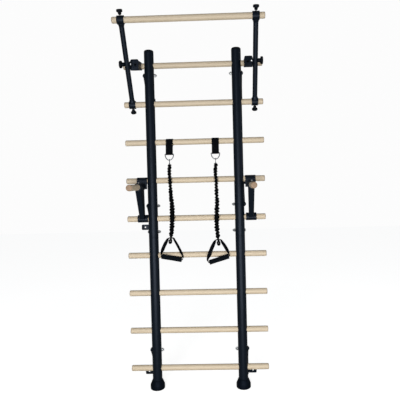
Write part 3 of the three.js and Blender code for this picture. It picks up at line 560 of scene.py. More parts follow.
def slab(outline, thickness, edge, to_place):
    """A plate with softened rims; to_place turns (across, up, depth) into a point."""
    shape = bmesh.new()
    near = [shape.verts.new((u, v, 0)) for u, v in outline]
    far = [shape.verts.new((u, v, thickness)) for u, v in outline]
    shape.faces.new(list(reversed(near)))
    shape.faces.new(far)
    for step in range(len(outline)):
        turn = (step + 1) % len(outline)
        shape.faces.new((near[step], near[turn], far[turn], far[step]))
    rims = [e for e in shape.edges if abs(e.verts[0].co.z - e.verts[1].co.z) < thickness / 2]
    bmesh.ops.bevel(
        shape, geom=rims, offset=edge, segments=2, affect="EDGES", profile=0.5, clamp_overlap=True,
    )
    for vertex in shape.verts:
        vertex.co = to_place(*vertex.co)
    return to_mesh(shape, "slab")


def side_plate(outline, start, thickness, edge):
    """A plate seen from the side: outline is (back, up), and it fills x from start."""
    return slab(outline, thickness, edge, lambda back, up, depth: Vector((start + depth, back, up)))


def front_plate(outline, back, thickness, edge):
    """A plate seen from the front: outline is (right, up), and its back is at y = back."""
    return slab(outline, thickness, edge, lambda right, up, depth: Vector((right, back - depth, up)))


def carved(body, joined=(), cut=()):
    """One mesh from a body, the meshes joined to it and the ones cut from it."""
    objects = []
    for mesh in (body, *joined, *cut):
        made = bpy.data.objects.new("work", mesh)
        bpy.context.scene.collection.objects.link(made)
        objects.append(made)
    for index, tool in enumerate(objects[1:]):
        step = objects[0].modifiers.new("step", "BOOLEAN")
        step.solver = "EXACT"
        step.operation = "UNION" if index < len(joined) else "DIFFERENCE"
        step.object = tool
    graph = bpy.context.evaluated_depsgraph_get()
    mesh = bpy.data.meshes.new_from_object(objects[0].evaluated_get(graph))
    for made in objects:
        bpy.data.objects.remove(made)
    return mesh


def moved(mesh, matrix):
    mesh.transform(matrix)
    if matrix.determinant() < 0:
        mesh.flip_normals()
    return mesh


def piece(name, mesh, finish, body, *nodes, sharp=SHARP_ANGLE):
    """One visible piece: shaded smooth below the sharp angle, finished, and riding on its body."""
    shape = bmesh.new()
    shape.from_mesh(mesh)
    for face in shape.faces:
        face.smooth = True
    for edge in shape.edges:
        edge.smooth = len(edge.link_faces) == 2 and edge.calc_face_angle() < math.radians(sharp)
    shape.to_mesh(mesh)
    shape.free()
    material, slot = FINISHES[finish]
    mesh.name = f"{name}_visual"
    mesh.materials.clear()
    mesh.materials.append(material)
    made = bpy.data.objects.new(f"{name}_visual", mesh)
    bpy.context.scene.collection.objects.link(made)
    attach(made, body)
    if nodes:
        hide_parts(*nodes)
    return made


def dress(node, mesh, finish, body="frame", sharp=SHARP_ANGLE):
    """A piece that is seen in place of the node it is named after."""
    return piece(node, mesh, finish, body, node, sharp=sharp)


def smooth_path(guide, count, closed=False):
    """Evenly spaced points on one smooth curve through the guide points."""
    last = len(guide) - 1
    dense = []
    per_span = 24
    for span in range(len(guide) if closed else last):
        if closed:
            a, b, c, d = (guide[(span + shift) % len(guide)] for shift in (-1, 0, 1, 2))
        else:
            a = guide[max(span - 1, 0)]
            b = guide[span]
            c = guide[span + 1]
            d = guide[min(span + 2, last)]
        for step in range(per_span):
            t = step / per_span
            point = 0.5 * (
                2 * b + (c - a) * t + (2 * a - 5 * b + 4 * c - d) * t * t + (3 * b - a - 3 * c + d) * t ** 3
            )
            dense.append(point)
    dense.append(guide[0].copy() if closed else guide[-1].copy())
    lengths = [0.0]
    for before, after in zip(dense, dense[1:]):
        lengths.append(lengths[-1] + (after - before).length)
    path = []
    index = 0
    for step in range(count if closed else count + 1):
        target = lengths[-1] * step / count
        while index < len(dense) - 2 and lengths[index + 1] < target:
            index += 1
        span = lengths[index + 1] - lengths[index]
        share = (target - lengths[index]) / span if span > 0 else 0.0
        path.append(dense[index].lerp(dense[index + 1], share))
    return path


def swept(path, first_at, section_at, closed=False, lay=True):
    """A section carried along a path; first_at gives the section's first direction at each point."""
    last = len(path) - 1
    rings = []
    for index, point in enumerate(path):
        before = path[index - 1] if index > 0 or closed else path[0]
        after = path[(index + 1) % len(path)] if index < last or closed else path[last]
        along = (after - before).normalized()
        first = first_at(index)
        first = (first - along * first.dot(along)).normalized()
        second = along.cross(first)
        rings.append([point + first * a + second * b for a, b in section_at(index)])
    return ring_mesh(rings, closed, lay)


def circle(radius, sides):
    return [
        (radius * math.cos(2 * math.pi * side / sides), radius * math.sin(2 * math.pi * side / sides))
        for side in range(sides)
    ]


def wire(path, radius, sides, first, closed=False, lay=True):
    """A round wire or cord along a path; first is the direction of its first side."""
    section = circle(radius, sides)
    return swept(path, lambda index: first, lambda index: section, closed, lay)


def rounded_rectangle(width, depth, corner, steps=3):
    points = []
    for sign_a, sign_b, start in ((1, 1, 0), (-1, 1, 90), (-1, -1, 180), (1, -1, 270)):
        middle = (sign_a * (width / 2 - corner), sign_b * (depth / 2 - corner))
        points += arc(middle, corner, start, start + 90, steps)
    return points


# Camera, light and floor
def place_camera():
    pan = math.radians(CAMERA_PAN)
    tilt = math.radians(CAMERA_TILT)
    roll = math.radians(CAMERA_ROLL)
    forward = Vector((math.sin(pan) * math.cos(tilt), math.cos(pan) * math.cos(tilt), -math.sin(tilt)))
    right = Vector((math.cos(pan), -math.sin(pan), 0))
    up = right.cross(forward)
    level = right * math.cos(roll) + up * math.sin(roll)
    upright = up * math.cos(roll) - right * math.sin(roll)
    data = bpy.data.cameras.new("camera")
    data.sensor_fit = "HORIZONTAL"
    data.sensor_width = CAMERA_SENSOR
    data.lens = CAMERA_LENS
    data.shift_x, data.shift_y = CAMERA_SHIFT
    camera = bpy.data.objects.new("camera", data)
    pose = Matrix((level, upright, -forward)).transposed().to_4x4()
    pose.translation = CAMERA_PLACE
    camera.matrix_world = pose
    bpy.context.scene.collection.objects.link(camera)
    bpy.context.scene.camera = camera


def softbox(name, place, target, size, watts, tint):
    data = bpy.data.lights.new(name, "AREA")
    data.shape = "RECTANGLE"
    data.size, data.size_y = size
    data.energy = watts
    data.color = colour(tint)[:3]
    light = bpy.data.objects.new(name, data)
    light.location = place
    light.rotation_euler = (Vector(target) - Vector(place)).to_track_quat("-Z", "Y").to_euler()
    bpy.context.scene.collection.objects.link(light)


def light_studio():
    world = bpy.data.worlds.new("studio")
    bpy.context.scene.world = world
    world.use_nodes = True
    world.node_tree.nodes.clear()
    seen = add(world, "ShaderNodeBackground", {"Color": colour("#FFFFFF"), "Strength": BACKDROP_STRENGTH})
    fill = add(world, "ShaderNodeBackground", {"Color": colour("#F4F7FA"), "Strength": FILL_STRENGTH})
    ray = add(world, "ShaderNodeLightPath")
    mixed = add(
        world, "ShaderNodeMixShader", {},
        {0: ray.outputs["Is Camera Ray"], 1: fill.outputs["Background"], 2: seen.outputs["Background"]},
    )
    add(world, "ShaderNodeOutputWorld", {}, {"Surface": mixed.outputs["Shader"]})
    for lamp in LAMPS:
        softbox(*lamp)
    paper = bpy.data.meshes.new("floor")
    signs = ((-1, -1), (1, -1), (1, 1), (-1, 1))
    corners = [(FLOOR_REACH * across, FLOOR_REACH * back, 0) for across, back in signs]
    paper.from_pydata(corners, [], [(0, 1, 2, 3)])
    paper.materials.append(studio_paper())
    floor = bpy.data.objects.new("floor", paper)
    floor.visible_diffuse = False
    floor.visible_glossy = False
    bpy.context.scene.collection.objects.link(floor)
    bpy.context.scene.view_settings.view_transform = "Standard"


# Bands: a gathered sleeve on an elastic cord, drawn in at both ends and tied off below the hand strap
BAND_GIRTH = (
    (0, 0.0085), (0.02, 0.0112), (0.07, 0.0112), (0.14, 0.0098), (0.3, 0.0098), (0.47, 0.0116),
    (0.55, 0.0128), (0.64, 0.0138), (0.8, 0.0134), (0.958, 0.0126), (0.985, 0.0060), (1, 0.0055),
)
BAND_RUCHE = (
    (0, 0.0012), (0.03, 0.0026), (0.4, 0.0030), (0.6, 0.0036), (0.93, 0.0034), (0.975, 0.0010), (1, 0),
)
BAND_RINGS = 300
BAND_SIDES = 32
BAND_TWIST = 26
BAND_FLATNESS = 0.08
FOLD_COUNT = 25
FOLD_SLANT = 2.2
FOLD_DRIFT = 2.4
PUCKERS_AROUND = 1.6
PUCKERS_ALONG = 26
SWELL_FINENESS = 1.7
SWELL_SHIFT = Vector((7, 3, 1))
SWELL_SHARE = 0.5

# The cord's tied end below the hand strap, as (right, back, up) from the sleeve's end
KNOT_ROUTE = (
    (0, 0, 0.001), (0.0010, -0.0010, -0.0060), (0.0062, -0.0030, -0.0125), (0.0066, -0.0050, -0.0205),
    (0, -0.0062, -0.0265), (-0.0066, -0.0030, -0.0225), (-0.0062, 0.0025, -0.0145),
    (-0.0010, 0.0052, -0.0125), (0.0050, 0.0048, -0.0200), (0.0064, 0.0010, -0.0285),
    (0.0010, -0.0030, -0.0335), (-0.0058, -0.0010, -0.0305), (-0.0040, 0.0040, -0.0270),
    (0.0030, 0.0040, -0.0300), (0.0030, 0, -0.0340),
)
KNOT_CORD = 0.0052
KNOT_RINGS = 110
KNOT_SIDES = 14
KNOT_FIRST = Vector((1, 0.2, 0.3))


def between(table, share):
    """The value at a share of the length, read from a table of (share, value)."""
    for (start, low), (end, high) in zip(table, table[1:]):
        if share <= end:
            return low + (high - low) * (share - start) / (end - start)
    return table[-1][1]


def band_route(name):
    """The guide points of one band, from its ferrule to the knot."""
    band = BANDS[name]
    top_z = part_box(f"band_{name}")[1][2]
    top = Vector((centre(f"strap_{name}").x, centre(f"grip_{name}").y, top_z))
    guide = [top]
    for sideways, share in band["sway"]:
        guide.append(top + Vector((sideways, 0, -band["length"] * share)))
    guide.append(top + Vector((band["knot"] / 2, 0, -band["length"])))
    return guide


def ruche(share, angle, seed):
    """How far the gathered sleeve stands out at a share of the length and an angle."""
    across = PUCKERS_AROUND * math.cos(angle)
    back = PUCKERS_AROUND * math.sin(angle)
    spot = Vector((across, back, PUCKERS_ALONG * share + seed))
    drift = FOLD_DRIFT * noise.noise(spot)
    fold = math.sin(2 * math.pi * FOLD_COUNT * share + FOLD_SLANT * math.sin(angle + seed) + drift)
    swell = noise.noise(spot * SWELL_FINENESS + SWELL_SHIFT)
    return between(BAND_RUCHE, share) * (fold + SWELL_SHARE * swell)


def make_band(name):
    band = BANDS[name]
    guide = band_route(name)
    path = smooth_path(guide, BAND_RINGS)

    def section(index):
        share = index / BAND_RINGS
        girth = between(BAND_GIRTH, share)
        twist = BAND_TWIST * share
        points = []
        for side in range(BAND_SIDES):
            angle = 2 * math.pi * side / BAND_SIDES
            flat = 1 + BAND_FLATNESS * math.cos(2 * (angle - twist))
            reach = girth * flat + ruche(share, angle, band["seed"])
            points.append((reach * math.cos(angle), reach * math.sin(angle)))
        return points

    mesh = swept(path, lambda index: Vector((1, 0, 0)), section)
    sleeve = dress(f"band_{name}", mesh, "sleeve", f"band_{name}", NEVER_SHARP)
    knot = make_knot(name, guide[-1])
    steps = 32
    [tuple(point) for point in smooth_path(guide, steps)]


def make_knot(name, top):
    """The cord's end below the hand strap: a tight turn round itself and a short tail."""
    lean = BANDS[name]["knot"] / 2 / KNOT_DROP
    guide = [top + Vector((x + lean * -z, y, z)) for x, y, z in KNOT_ROUTE]
    mesh = wire(smooth_path(guide, KNOT_RINGS), KNOT_CORD, KNOT_SIDES, KNOT_FIRST)
    return piece(f"band_{name}_knot", mesh, "sleeve", f"band_{name}", sharp=NEVER_SHARP)


place_camera()
for side_name in SIDES:
    make_band(side_name)


# Rungs and pull-up bar
def make_rungs():
    half = RUNG_LENGTH / 2
    profile = rounded(RUNG_RADIUS, -half, half, DOWEL_EDGE)
    for number in range(1, RUNG_COUNT + 1):
        dress(f"rung_{number}", turned(profile, "X", (0, RUNG_Y, RUNG_Z[number])), "beech")
    dress("pull_up_bar", turned(profile, "X", BAR), "beech")


# Uprights, caps and feet
def make_uprights():
    for name, side in SIDES.items():
        x = side * UPRIGHT_X
        for part in ("lower", "upper"):
            node = f"upright_{name}_{part}"
            low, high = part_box(node)
            start = low[2]
            end = high[2] if part == "upper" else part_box(f"upright_{name}_upper")[0][2] - FIT
            profile = pipe_profile(TUBE_RADIUS, TUBE_RADIUS - TUBE_WALL, start, end, TUBE_EDGE)
            tube = turned(profile, "Z", (x, UPRIGHT_Y, 0))
            reach = TUBE_RADIUS + OVERRUN
            hole = rod(RUNG_RADIUS + FIT, -reach, reach)
            holes = [turned(hole, "X", (x, RUNG_Y, z)) for z in RUNG_Z.values() if start < z < end]
            dress(node, carved(tube, cut=holes), "steel")


def make_caps_and_feet():
    plug = TUBE_RADIUS - TUBE_WALL - FIT
    crown = arc((TUBE_RADIUS - CAP_EDGE, CAP_RISE - CAP_EDGE), CAP_EDGE, 0, 90, 10)
    cap = [(0, -CAP_DEPTH), (plug, -CAP_DEPTH), (plug, FIT), (TUBE_RADIUS, FIT), *crown, (0, CAP_RISE)]
    socket = TUBE_RADIUS + FIT
    collar = socket + FOOT_COLLAR_WALL
    foot = [
        (0, 0), (FOOT_SOLE_RADIUS, 0),
        *arc((FOOT_FLANGE_RADIUS - FOOT_EDGE, FOOT_EDGE), FOOT_EDGE, -70, 0, 6),
        (FOOT_FLANGE_RADIUS, FOOT_FLANGE_HEIGHT - FOOT_LIP),
        (FOOT_FLANGE_RADIUS - FOOT_LIP / 2, FOOT_FLANGE_HEIGHT + FOOT_LIP),
        *arc((collar - FOOT_LIP, FOOT_HEIGHT - FOOT_LIP), FOOT_LIP, 20, 90, 4),
        (socket, FOOT_HEIGHT), (socket, FOOT_FLOOR), (0, FOOT_FLOOR),
    ]
    for name, side in SIDES.items():
        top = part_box(f"upright_{name}_upper")[1][2]
        dress(f"cap_{name}", turned(cap, "Z", (side * UPRIGHT_X, UPRIGHT_Y, top)), "plastic")
        dress(f"foot_{name}", turned(foot, "Z", (side * UPRIGHT_X, UPRIGHT_Y, 0)), "rubber")


# Screws and nuts
def threaded(radius, start, end):
    """A screw's profile with its thread drawn as close rings."""
    length = end - start
    profile = [(0, start), (radius - THREAD_DEPTH, start)]
    turns = max(1, round(length / THREAD_PITCH))
    for turn in range(turns):
        base = start + length * turn / turns
        profile.append((radius, base + length / turns / 2))
        profile.append((radius - THREAD_DEPTH, base + length / turns))
    return profile + [(0, end)]


def nut_mesh(bore, corner, start, end):
    """A hexagon nut along X with chamfered corners."""
    sector = math.pi / 3
    flat = corner * math.cos(sector / 2)
    rim = flat - NUT_CHAMFER / 2
    profile = [
        (bore, start), (rim, start), (corner, start + NUT_CHAMFER), (corner, end - NUT_CHAMFER), (rim, end),
        (bore, end), (bore, start),
    ]

    def hexagonal(radius, along, angle):
        return min(radius, flat / math.cos((angle + sector / 2) % sector - sector / 2))

    return turned(profile, "X", sides=NUT_SIDES, outline=hexagonal)


def button_head(seat):
    """A domed bolt head with a key socket, along X from its seat."""
    top = seat + BOLT_HEAD_HEIGHT
    dome = [(0, seat), (BOLT_HEAD_RADIUS, seat)]
    for degrees in range(10, 90, 10):
        angle = math.radians(degrees)
        dome.append((BOLT_HEAD_RADIUS * math.cos(angle), seat + BOLT_HEAD_HEIGHT * math.sin(angle)))
    dome.append((0, top))
    key = rod(BOLT_SOCKET_RADIUS, top - BOLT_SOCKET_DEPTH, top + OVERRUN)
    return carved(turned(dome, "X", sides=MEDIUM_SIDES), cut=[turned(key, "X", sides=KEY_SIDES)])


def make_bolts():
    nut_seat = UPRIGHT_X - TUBE_RADIUS - FIT
    for name, side in SIDES.items():
        wall_seat = UPRIGHT_X + TUBE_RADIUS + STRAP_THICK + 2 * FIT
        seats = {f"wall_bolt_{name}_{level}": wall_seat for level in LEVELS}
        seats[f"joint_bolt_{name}"] = UPRIGHT_X + TUBE_RADIUS + FIT
        for node, seat in seats.items():
            place = Matrix.Translation((0, UPRIGHT_Y, centre(node).z)) @ Matrix.Diagonal((side, 1, 1, 1))
            head_finish = "zinc" if node.startswith("joint") else "steel"
            piece(f"{node}_head", moved(button_head(seat), place), head_finish, "frame")
            tail = nut_seat - NUT_HEIGHT
            shank = turned(threaded(BOLT_RADIUS, tail - BOLT_TAIL, seat), "X", sides=SMALL_SIDES)
            nut = nut_mesh(BOLT_RADIUS - THREAD_DEPTH, NUT_RADIUS, tail, nut_seat)
            dress(node, moved(carved(shank, [nut]), place), "zinc")


# Wall brackets
def wall_bracket(outward, drop):
    """Drawn for the right side with its bolt at the origin's height; y is measured from the tube's middle."""
    strap_x = UPRIGHT_X + TUBE_RADIUS + FIT
    wall = -UPRIGHT_Y
    eye = STRAP_WIDTH / 2
    front = wall - STRAP_WIDTH
    foot = -drop - TAB_HEIGHT / 2
    lean = math.degrees(math.atan2(-KNEE_DROP, wall - eye))
    outline = arc((0, 0), eye, lean + 90, lean + 270)
    outline += [(front, -KNEE_DROP - KNEE_SPREAD), (front, foot)]
    outline += [(wall, foot), (wall, -KNEE_DROP + KNEE_SPREAD)]
    strap = side_plate(outline, strap_x, STRAP_THICK, STRAP_EDGE)
    half = TAB_HEIGHT / 2
    bend = TAB_LENGTH - TAB_CORNER
    tab_outline = [(0, -half)]
    tab_outline += arc((bend, TAB_CORNER - half), TAB_CORNER, -90, 0, CORNER_STEPS)
    tab_outline += arc((bend, half - TAB_CORNER), TAB_CORNER, 0, 90, CORNER_STEPS)
    tab_outline.append((0, half))
    tab = front_plate(tab_outline, wall, STRAP_THICK, STRAP_EDGE)
    direction = 1 if outward else -1
    tab_x = strap_x if outward else strap_x + STRAP_THICK
    moved(tab, Matrix.Translation((tab_x, 0, -drop)) @ Matrix.Diagonal((direction, 1, 1, 1)))
    bolt_hole = rod(BOLT_RADIUS + FIT, strap_x - OVERRUN, strap_x + STRAP_THICK + OVERRUN)
    tab_hole = rod(TAB_HOLE_RADIUS, -STRAP_THICK - OVERRUN, OVERRUN)
    holes = [
        turned(bolt_hole, "X", sides=SMALL_SIDES),
        turned(tab_hole, "Y", (tab_x + direction * TAB_HOLE_REACH, wall, -drop), SMALL_SIDES),
    ]
    return carved(strap, [tab], holes)


def make_wall_brackets():
    for name, side in SIDES.items():
        for level in LEVELS:
            node = f"wall_bracket_{name}_{level}"
            bolt_z = centre(f"wall_bolt_{name}_{level}").z
            points_up = centre(node).z > bolt_z
            place = Matrix.Translation((0, UPRIGHT_Y, bolt_z))
            place = place @ Matrix.Diagonal((side, 1, -1 if points_up else 1, 1))
            dress(node, moved(wall_bracket(level != "top", TAB_DROP[level]), place), "steel")


# Pull-up frame
BAR_FORWARD = RUNG_Y - BAR.y
BAR_ABOVE = BAR.z - RUNG_Z[2]
ARM_LEAN = math.atan2(BAR_FORWARD, BAR_ABOVE)
ARM_LENGTH = math.hypot(BAR_FORWARD, BAR_ABOVE)
SIDE_SCREW_FORWARD = (RUNG_Z[1] - RUNG_Z[2] - SIDE_SCREW_DROP) * math.tan(ARM_LEAN)


def arm_place(side):
    return Matrix.Translation((side * ARM_X, RUNG_Y, RUNG_Z[2])) @ Matrix.Rotation(ARM_LEAN, 4, "X")


def arm_mesh():
    """Drawn upright on the lower collar."""
    half = COLLAR_LENGTH / 2
    top = (0, 0, ARM_LENGTH)
    neck_top = COLLAR_RADIUS + NECK_LENGTH
    neck = [(0, RUNG_RADIUS), (NECK_RADIUS, RUNG_RADIUS)]
    for step in range(1, 9):
        share = step / 8
        flare = 0.5 + 0.5 * math.cos(math.pi * share)
        height = RUNG_RADIUS + (neck_top - RUNG_RADIUS) * share
        neck.append((ARM_RADIUS + (NECK_RADIUS - ARM_RADIUS) * flare, height))
    neck.append((0, neck_top))
    upper_neck = [(radius, ARM_LENGTH - height) for radius, height in neck]
    collar = rounded(COLLAR_RADIUS, -half, half, COLLAR_EDGE)
    tube = [(0, RUNG_RADIUS), (ARM_RADIUS, RUNG_RADIUS), (ARM_RADIUS, ARM_LENGTH - RUNG_RADIUS),
            (0, ARM_LENGTH - RUNG_RADIUS)]
    bore = [(0, -half - OVERRUN), (COLLAR_BORE, -half - OVERRUN), (COLLAR_BORE, half + OVERRUN),
            (0, half + OVERRUN)]
    return carved(
        turned(tube, sides=MEDIUM_SIDES),
        [turned(neck, sides=MEDIUM_SIDES), turned(upper_neck, sides=MEDIUM_SIDES),
         turned(collar, "X"), turned(collar, "X", top)],
        [turned(bore, "X"), turned(bore, "X", top)],
    )


def rung_bracket():
    """Drawn for the right side at rung 1: a hoop on the rung, two cheeks and a web across the front."""
    outer_x = ARM_X - ARM_RADIUS - FIT - SHEET
    inner_x = outer_x + SHEET - WEB_WIDTH
    shoulder = WEB_TOP - WEB_CORNER
    hoop = arc((0, 0), HOOP_RADIUS, 90, -90)
    inner = hoop + [(-WEB_FORWARD, -WEB_BOTTOM), (-WEB_FORWARD, shoulder)]
    ear = arc((-SIDE_SCREW_FORWARD, -SIDE_SCREW_DROP), EAR_RADIUS, -90, -270)
    outer = hoop + [(-WEB_FORWARD, -WEB_BOTTOM - OVERRUN)] + ear + [(-WEB_FORWARD, shoulder)]
    web_outline = [(0, -WEB_BOTTOM), (WEB_WIDTH, -WEB_BOTTOM)]
    web_outline += arc((WEB_WIDTH - WEB_CORNER, shoulder), WEB_CORNER, 0, 90, 8)
    web_outline += arc((WEB_CORNER, shoulder), WEB_CORNER, 90, 180, 8)
    web = front_plate(web_outline, SHEET - WEB_FORWARD, SHEET, SHEET_EDGE)
    moved(web, Matrix.Translation((inner_x, 0, 0)))
    wide_hoop = rounded(HOOP_RADIUS, inner_x + SHEET / 2, outer_x + SHEET, SHEET_EDGE)
    reach = WEB_WIDTH + OVERRUN
    bore = [(0, -reach), (RUNG_RADIUS + FIT, -reach), (RUNG_RADIUS + FIT, reach), (0, reach)]
    deep = 2 * SHEET
    hole = [(0, -deep), (WEB_HOLE_RADIUS, -deep), (WEB_HOLE_RADIUS, deep), (0, deep)]
    hole_place = (inner_x + WEB_HOLE_INSET, -WEB_FORWARD, (WEB_TOP - WEB_BOTTOM) / 2)
    return carved(
        side_plate(outer, outer_x, SHEET, SHEET_EDGE),
        [side_plate(inner, inner_x, SHEET, SHEET_EDGE), web, turned(wide_hoop, "X")],
        [turned(bore, "X", (outer_x - WEB_WIDTH / 2, 0, 0)), turned(hole, "Y", hole_place, SMALL_SIDES)],
    )


def lobed(radius, along, angle):
    """A knob's grip outline: rounded lobes, fading out towards the hub."""
    share = min(1.0, max(0.0, (radius - SIDE_HUB_RADIUS) / (KNOB_EDGE + KNOB_DIP)))
    return radius - share * KNOB_DIP * (1 - math.cos(KNOB_LOBES * angle)) / 2


def knob_head(radius, start, height):
    """The lobed head's profile from its underside to a shallow dish on top."""
    end = start + height
    rim = radius - KNOB_EDGE
    dish = 0.6 * radius
    sunk = 0.0015
    profile = arc((rim, start + KNOB_EDGE), KNOB_EDGE, -90, 0, 5)
    profile += arc((rim, end - KNOB_EDGE), KNOB_EDGE, 0, 90, 5)
    return profile + [(dish, end), (dish - sunk, end - sunk), (0, end - sunk)]


def clamp_knob():
    """A knob on a round-shouldered hub, standing on the origin."""
    cone_top = STEM_SHOWN + KNOB_CONE
    hub = [(0, STEM_SHOWN), (KNOB_NECK_RADIUS, STEM_SHOWN)]
    hub_radius = KNOB_RADIUS - KNOB_DIP - KNOB_EDGE
    for step in range(1, 9):
        share = step / 8
        hub.append((KNOB_NECK_RADIUS + (hub_radius - KNOB_NECK_RADIUS) * share ** 0.7,
                    STEM_SHOWN + KNOB_CONE * share))
    profile = hub + knob_head(KNOB_RADIUS, cone_top, KNOB_HEAD)
    return turned(profile, sides=KNOB_SIDES, outline=lobed)


def side_knob():
    hub = [(0, 0), (SIDE_HUB_RADIUS - 0.001, 0), (SIDE_HUB_RADIUS, 0.001), (SIDE_HUB_RADIUS, SIDE_HUB)]
    profile = hub + knob_head(SIDE_KNOB_RADIUS, SIDE_HUB, SIDE_KNOB_HEAD)
    return turned(profile, sides=KNOB_SIDES, outline=lobed)


def make_pull_up_frame():
    seat = COLLAR_BORE - COLLAR_RADIUS + FIT
    reach = 2 * ARM_RADIUS + 2 * FIT + SHEET + SIDE_STEM_TAIL
    for name, side in SIDES.items():
        arm = arm_place(side)
        mirror = Matrix.Diagonal((side, 1, 1, 1))
        piece(f"arm_{name}", moved(arm_mesh(), arm), "steel", "frame", f"arm_{name}")
        at_rung = Matrix.Translation((0, RUNG_Y, RUNG_Z[1])) @ mirror
        bracket = f"rung_bracket_{name}"
        piece(bracket, moved(rung_bracket(), at_rung), "steel", "frame", bracket)
        flip = Matrix.Rotation(math.pi, 4, "X")
        screw_place = (0, RUNG_Y - SIDE_SCREW_FORWARD, RUNG_Z[1] - SIDE_SCREW_DROP)
        side_screw = Matrix.Translation(screw_place) @ mirror
        outward = side_screw @ Matrix.Translation((ARM_X + ARM_RADIUS + FIT, 0, 0)) @ AXES["X"]
        top_place = arm @ Matrix.Translation((0, 0, ARM_LENGTH + COLLAR_RADIUS))
        bottom_place = arm @ Matrix.Translation((0, 0, -COLLAR_RADIUS)) @ flip
        knobs = {
            "top": (top_place, clamp_knob, seat, STEM_SHOWN),
            "bottom": (bottom_place, clamp_knob, seat, STEM_SHOWN),
            "side": (outward, side_knob, -reach, 0),
        }
        for spot, (place, head, screw_start, screw_end) in knobs.items():
            node = f"knob_{name}_{spot}"
            piece(node, moved(head(), place), "plastic", node, node)
            screw = turned(threaded(STEM_RADIUS, screw_start, screw_end), sides=SMALL_SIDES)
            piece(f"{node}_screw", moved(screw, place), "zinc", node)
        cheek = ARM_X - ARM_RADIUS - FIT - SHEET
        nut = nut_mesh(STEM_RADIUS + FIT, SIDE_NUT_RADIUS, cheek - SIDE_NUT_HEIGHT, cheek)
        piece(f"{bracket}_nut", moved(nut, side_screw), "zinc", "frame")


# Dip units
def dip_bracket():
    """Drawn with rung 4 at the origin: a hook over it, the handle's sleeve and a leg to rung 5."""
    outer = HOOK_BORE + HOOK_SHEET
    half = HOOK_WIDTH / 2
    pitch = RUNG_Z[4] - RUNG_Z[5]
    hook = [(-outer, -HOOK_FRONT_DROP)] + arc((0, 0), outer, 180, 0) + [(outer, -HOOK_BACK_DROP)]
    hook += [(HOOK_BORE, -HOOK_BACK_DROP)] + arc((0, 0), HOOK_BORE, 0, 180) + [(-HOOK_BORE, -HOOK_FRONT_DROP)]
    cradle = arc((0, -pitch), HOOK_BORE + CRADLE_WALL, 90, CRADLE_END)
    cradle += arc((0, -pitch), HOOK_BORE, CRADLE_END, 90)
    sleeve = rounded(SLEEVE_RADIUS, -SLEEVE_FORWARD, -HOOK_BORE - HOOK_SHEET / 2, SHEET_EDGE)
    leg = []
    ends = ((LEG_FOOT, LEG_FOOT_FORWARD, -pitch), (LEG_TOP, LEG_FORWARD, -SLEEVE_DROP))
    for (width, depth), forward, height in ends:
        section = rounded_rectangle(width, depth, min(LEG_CORNER, depth / 2 - FIT), 6)
        leg.append([Vector((across, back - forward, height)) for across, back in section])
    socket = [(0, -SLEEVE_FORWARD - OVERRUN), (DIP_HANDLE_RADIUS + FIT, -SLEEVE_FORWARD - OVERRUN),
              (DIP_HANDLE_RADIUS + FIT, -outer - FIT), (0, -outer - FIT)]
    end = half + OVERRUN
    space = [(0, -end), (HOOK_BORE, -end), (HOOK_BORE, end), (0, end)]
    low = (0, 0, -SLEEVE_DROP)
    return carved(
        side_plate(hook, -half, HOOK_WIDTH, SHEET_EDGE),
        [turned(sleeve, "Y", low), ring_mesh(leg), side_plate(cradle, -half, HOOK_WIDTH, SHEET_EDGE)],
        [turned(socket, "Y", low), turned(space, "X", (0, 0, -pitch)), turned(space, "X")],
    )


def dip_screw():
    """A pan-head screw with a key socket, its seat at the origin."""
    head = rounded(DIP_SCREW_HEAD_RADIUS, 0, DIP_SCREW_HEAD, DIP_SCREW_HEAD / 3)
    key = [(0, DIP_SCREW_HEAD / 2), (BOLT_SOCKET_RADIUS, DIP_SCREW_HEAD / 2),
           (BOLT_SOCKET_RADIUS, DIP_SCREW_HEAD + OVERRUN), (0, DIP_SCREW_HEAD + OVERRUN)]
    return carved(turned(head, sides=MEDIUM_SIDES), cut=[turned(key, sides=6)])


def make_dip_units():
    for name in SIDES:
        body = f"dip_{name}"
        x = centre(f"dip_bracket_{name}").x
        place = Matrix.Translation((x, RUNG_Y, RUNG_Z[4]))
        piece(f"dip_bracket_{name}", moved(dip_bracket(), place), "steel", body, f"dip_bracket_{name}")
        low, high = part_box(f"dip_handle_{name}")
        handle = rounded(DIP_HANDLE_RADIUS, low[1], high[1], DOWEL_EDGE)
        mesh = turned(handle, "Y", (x, 0, RUNG_Z[4] - SLEEVE_DROP))
        piece(f"dip_handle_{name}", mesh, "beech_handle", body, f"dip_handle_{name}")
        screw = centre(f"dip_screw_{name}")
        seat = RUNG_Z[4] - SLEEVE_DROP + SLEEVE_RADIUS + FIT
        mesh = moved(dip_screw(), Matrix.Translation((screw.x, screw.y, seat)))
        piece(f"dip_screw_{name}", mesh, "zinc", body, f"dip_screw_{name}")


# Band straps: one strip of webbing round rung 3, doubled in front and folded round the ring
def strap_route():
    """The strip's middle line seen from the side, (back, up) from the rung's middle."""
    start = Vector(TAIL_START)
    end = Vector(TAIL_END)
    down = (end - start).normalized()
    front = Vector((down.y, -down.x))
    gap = WEBBING_THICK / 2 + FIT / 2
    length = (end - start).length
    route = [start + down * (length * share) + front * gap for share in (0.86, 0.6, 0.35, 0.12)]
    for angle in range(168, -90, -22):
        radius = LOOP_WRAP + 0.0022 * max(0.0, (angle - 90) / 90)
        route.append(Vector((radius * math.cos(math.radians(angle)), radius * math.sin(math.radians(angle)))))
    route += [Vector((-0.006, -LOOP_WRAP)), Vector((-0.0165, -0.0245))]
    route += [start + down * (length * share) - front * gap for share in (0.46, 0.6, 0.74, 0.86)]
    for angle in (-75, -35, 0, 35, 75):
        spin = math.radians(angle)
        route.append(end + down * (EYE_WRAP * math.cos(spin)) + front * (EYE_WRAP * math.sin(spin)))
    return route


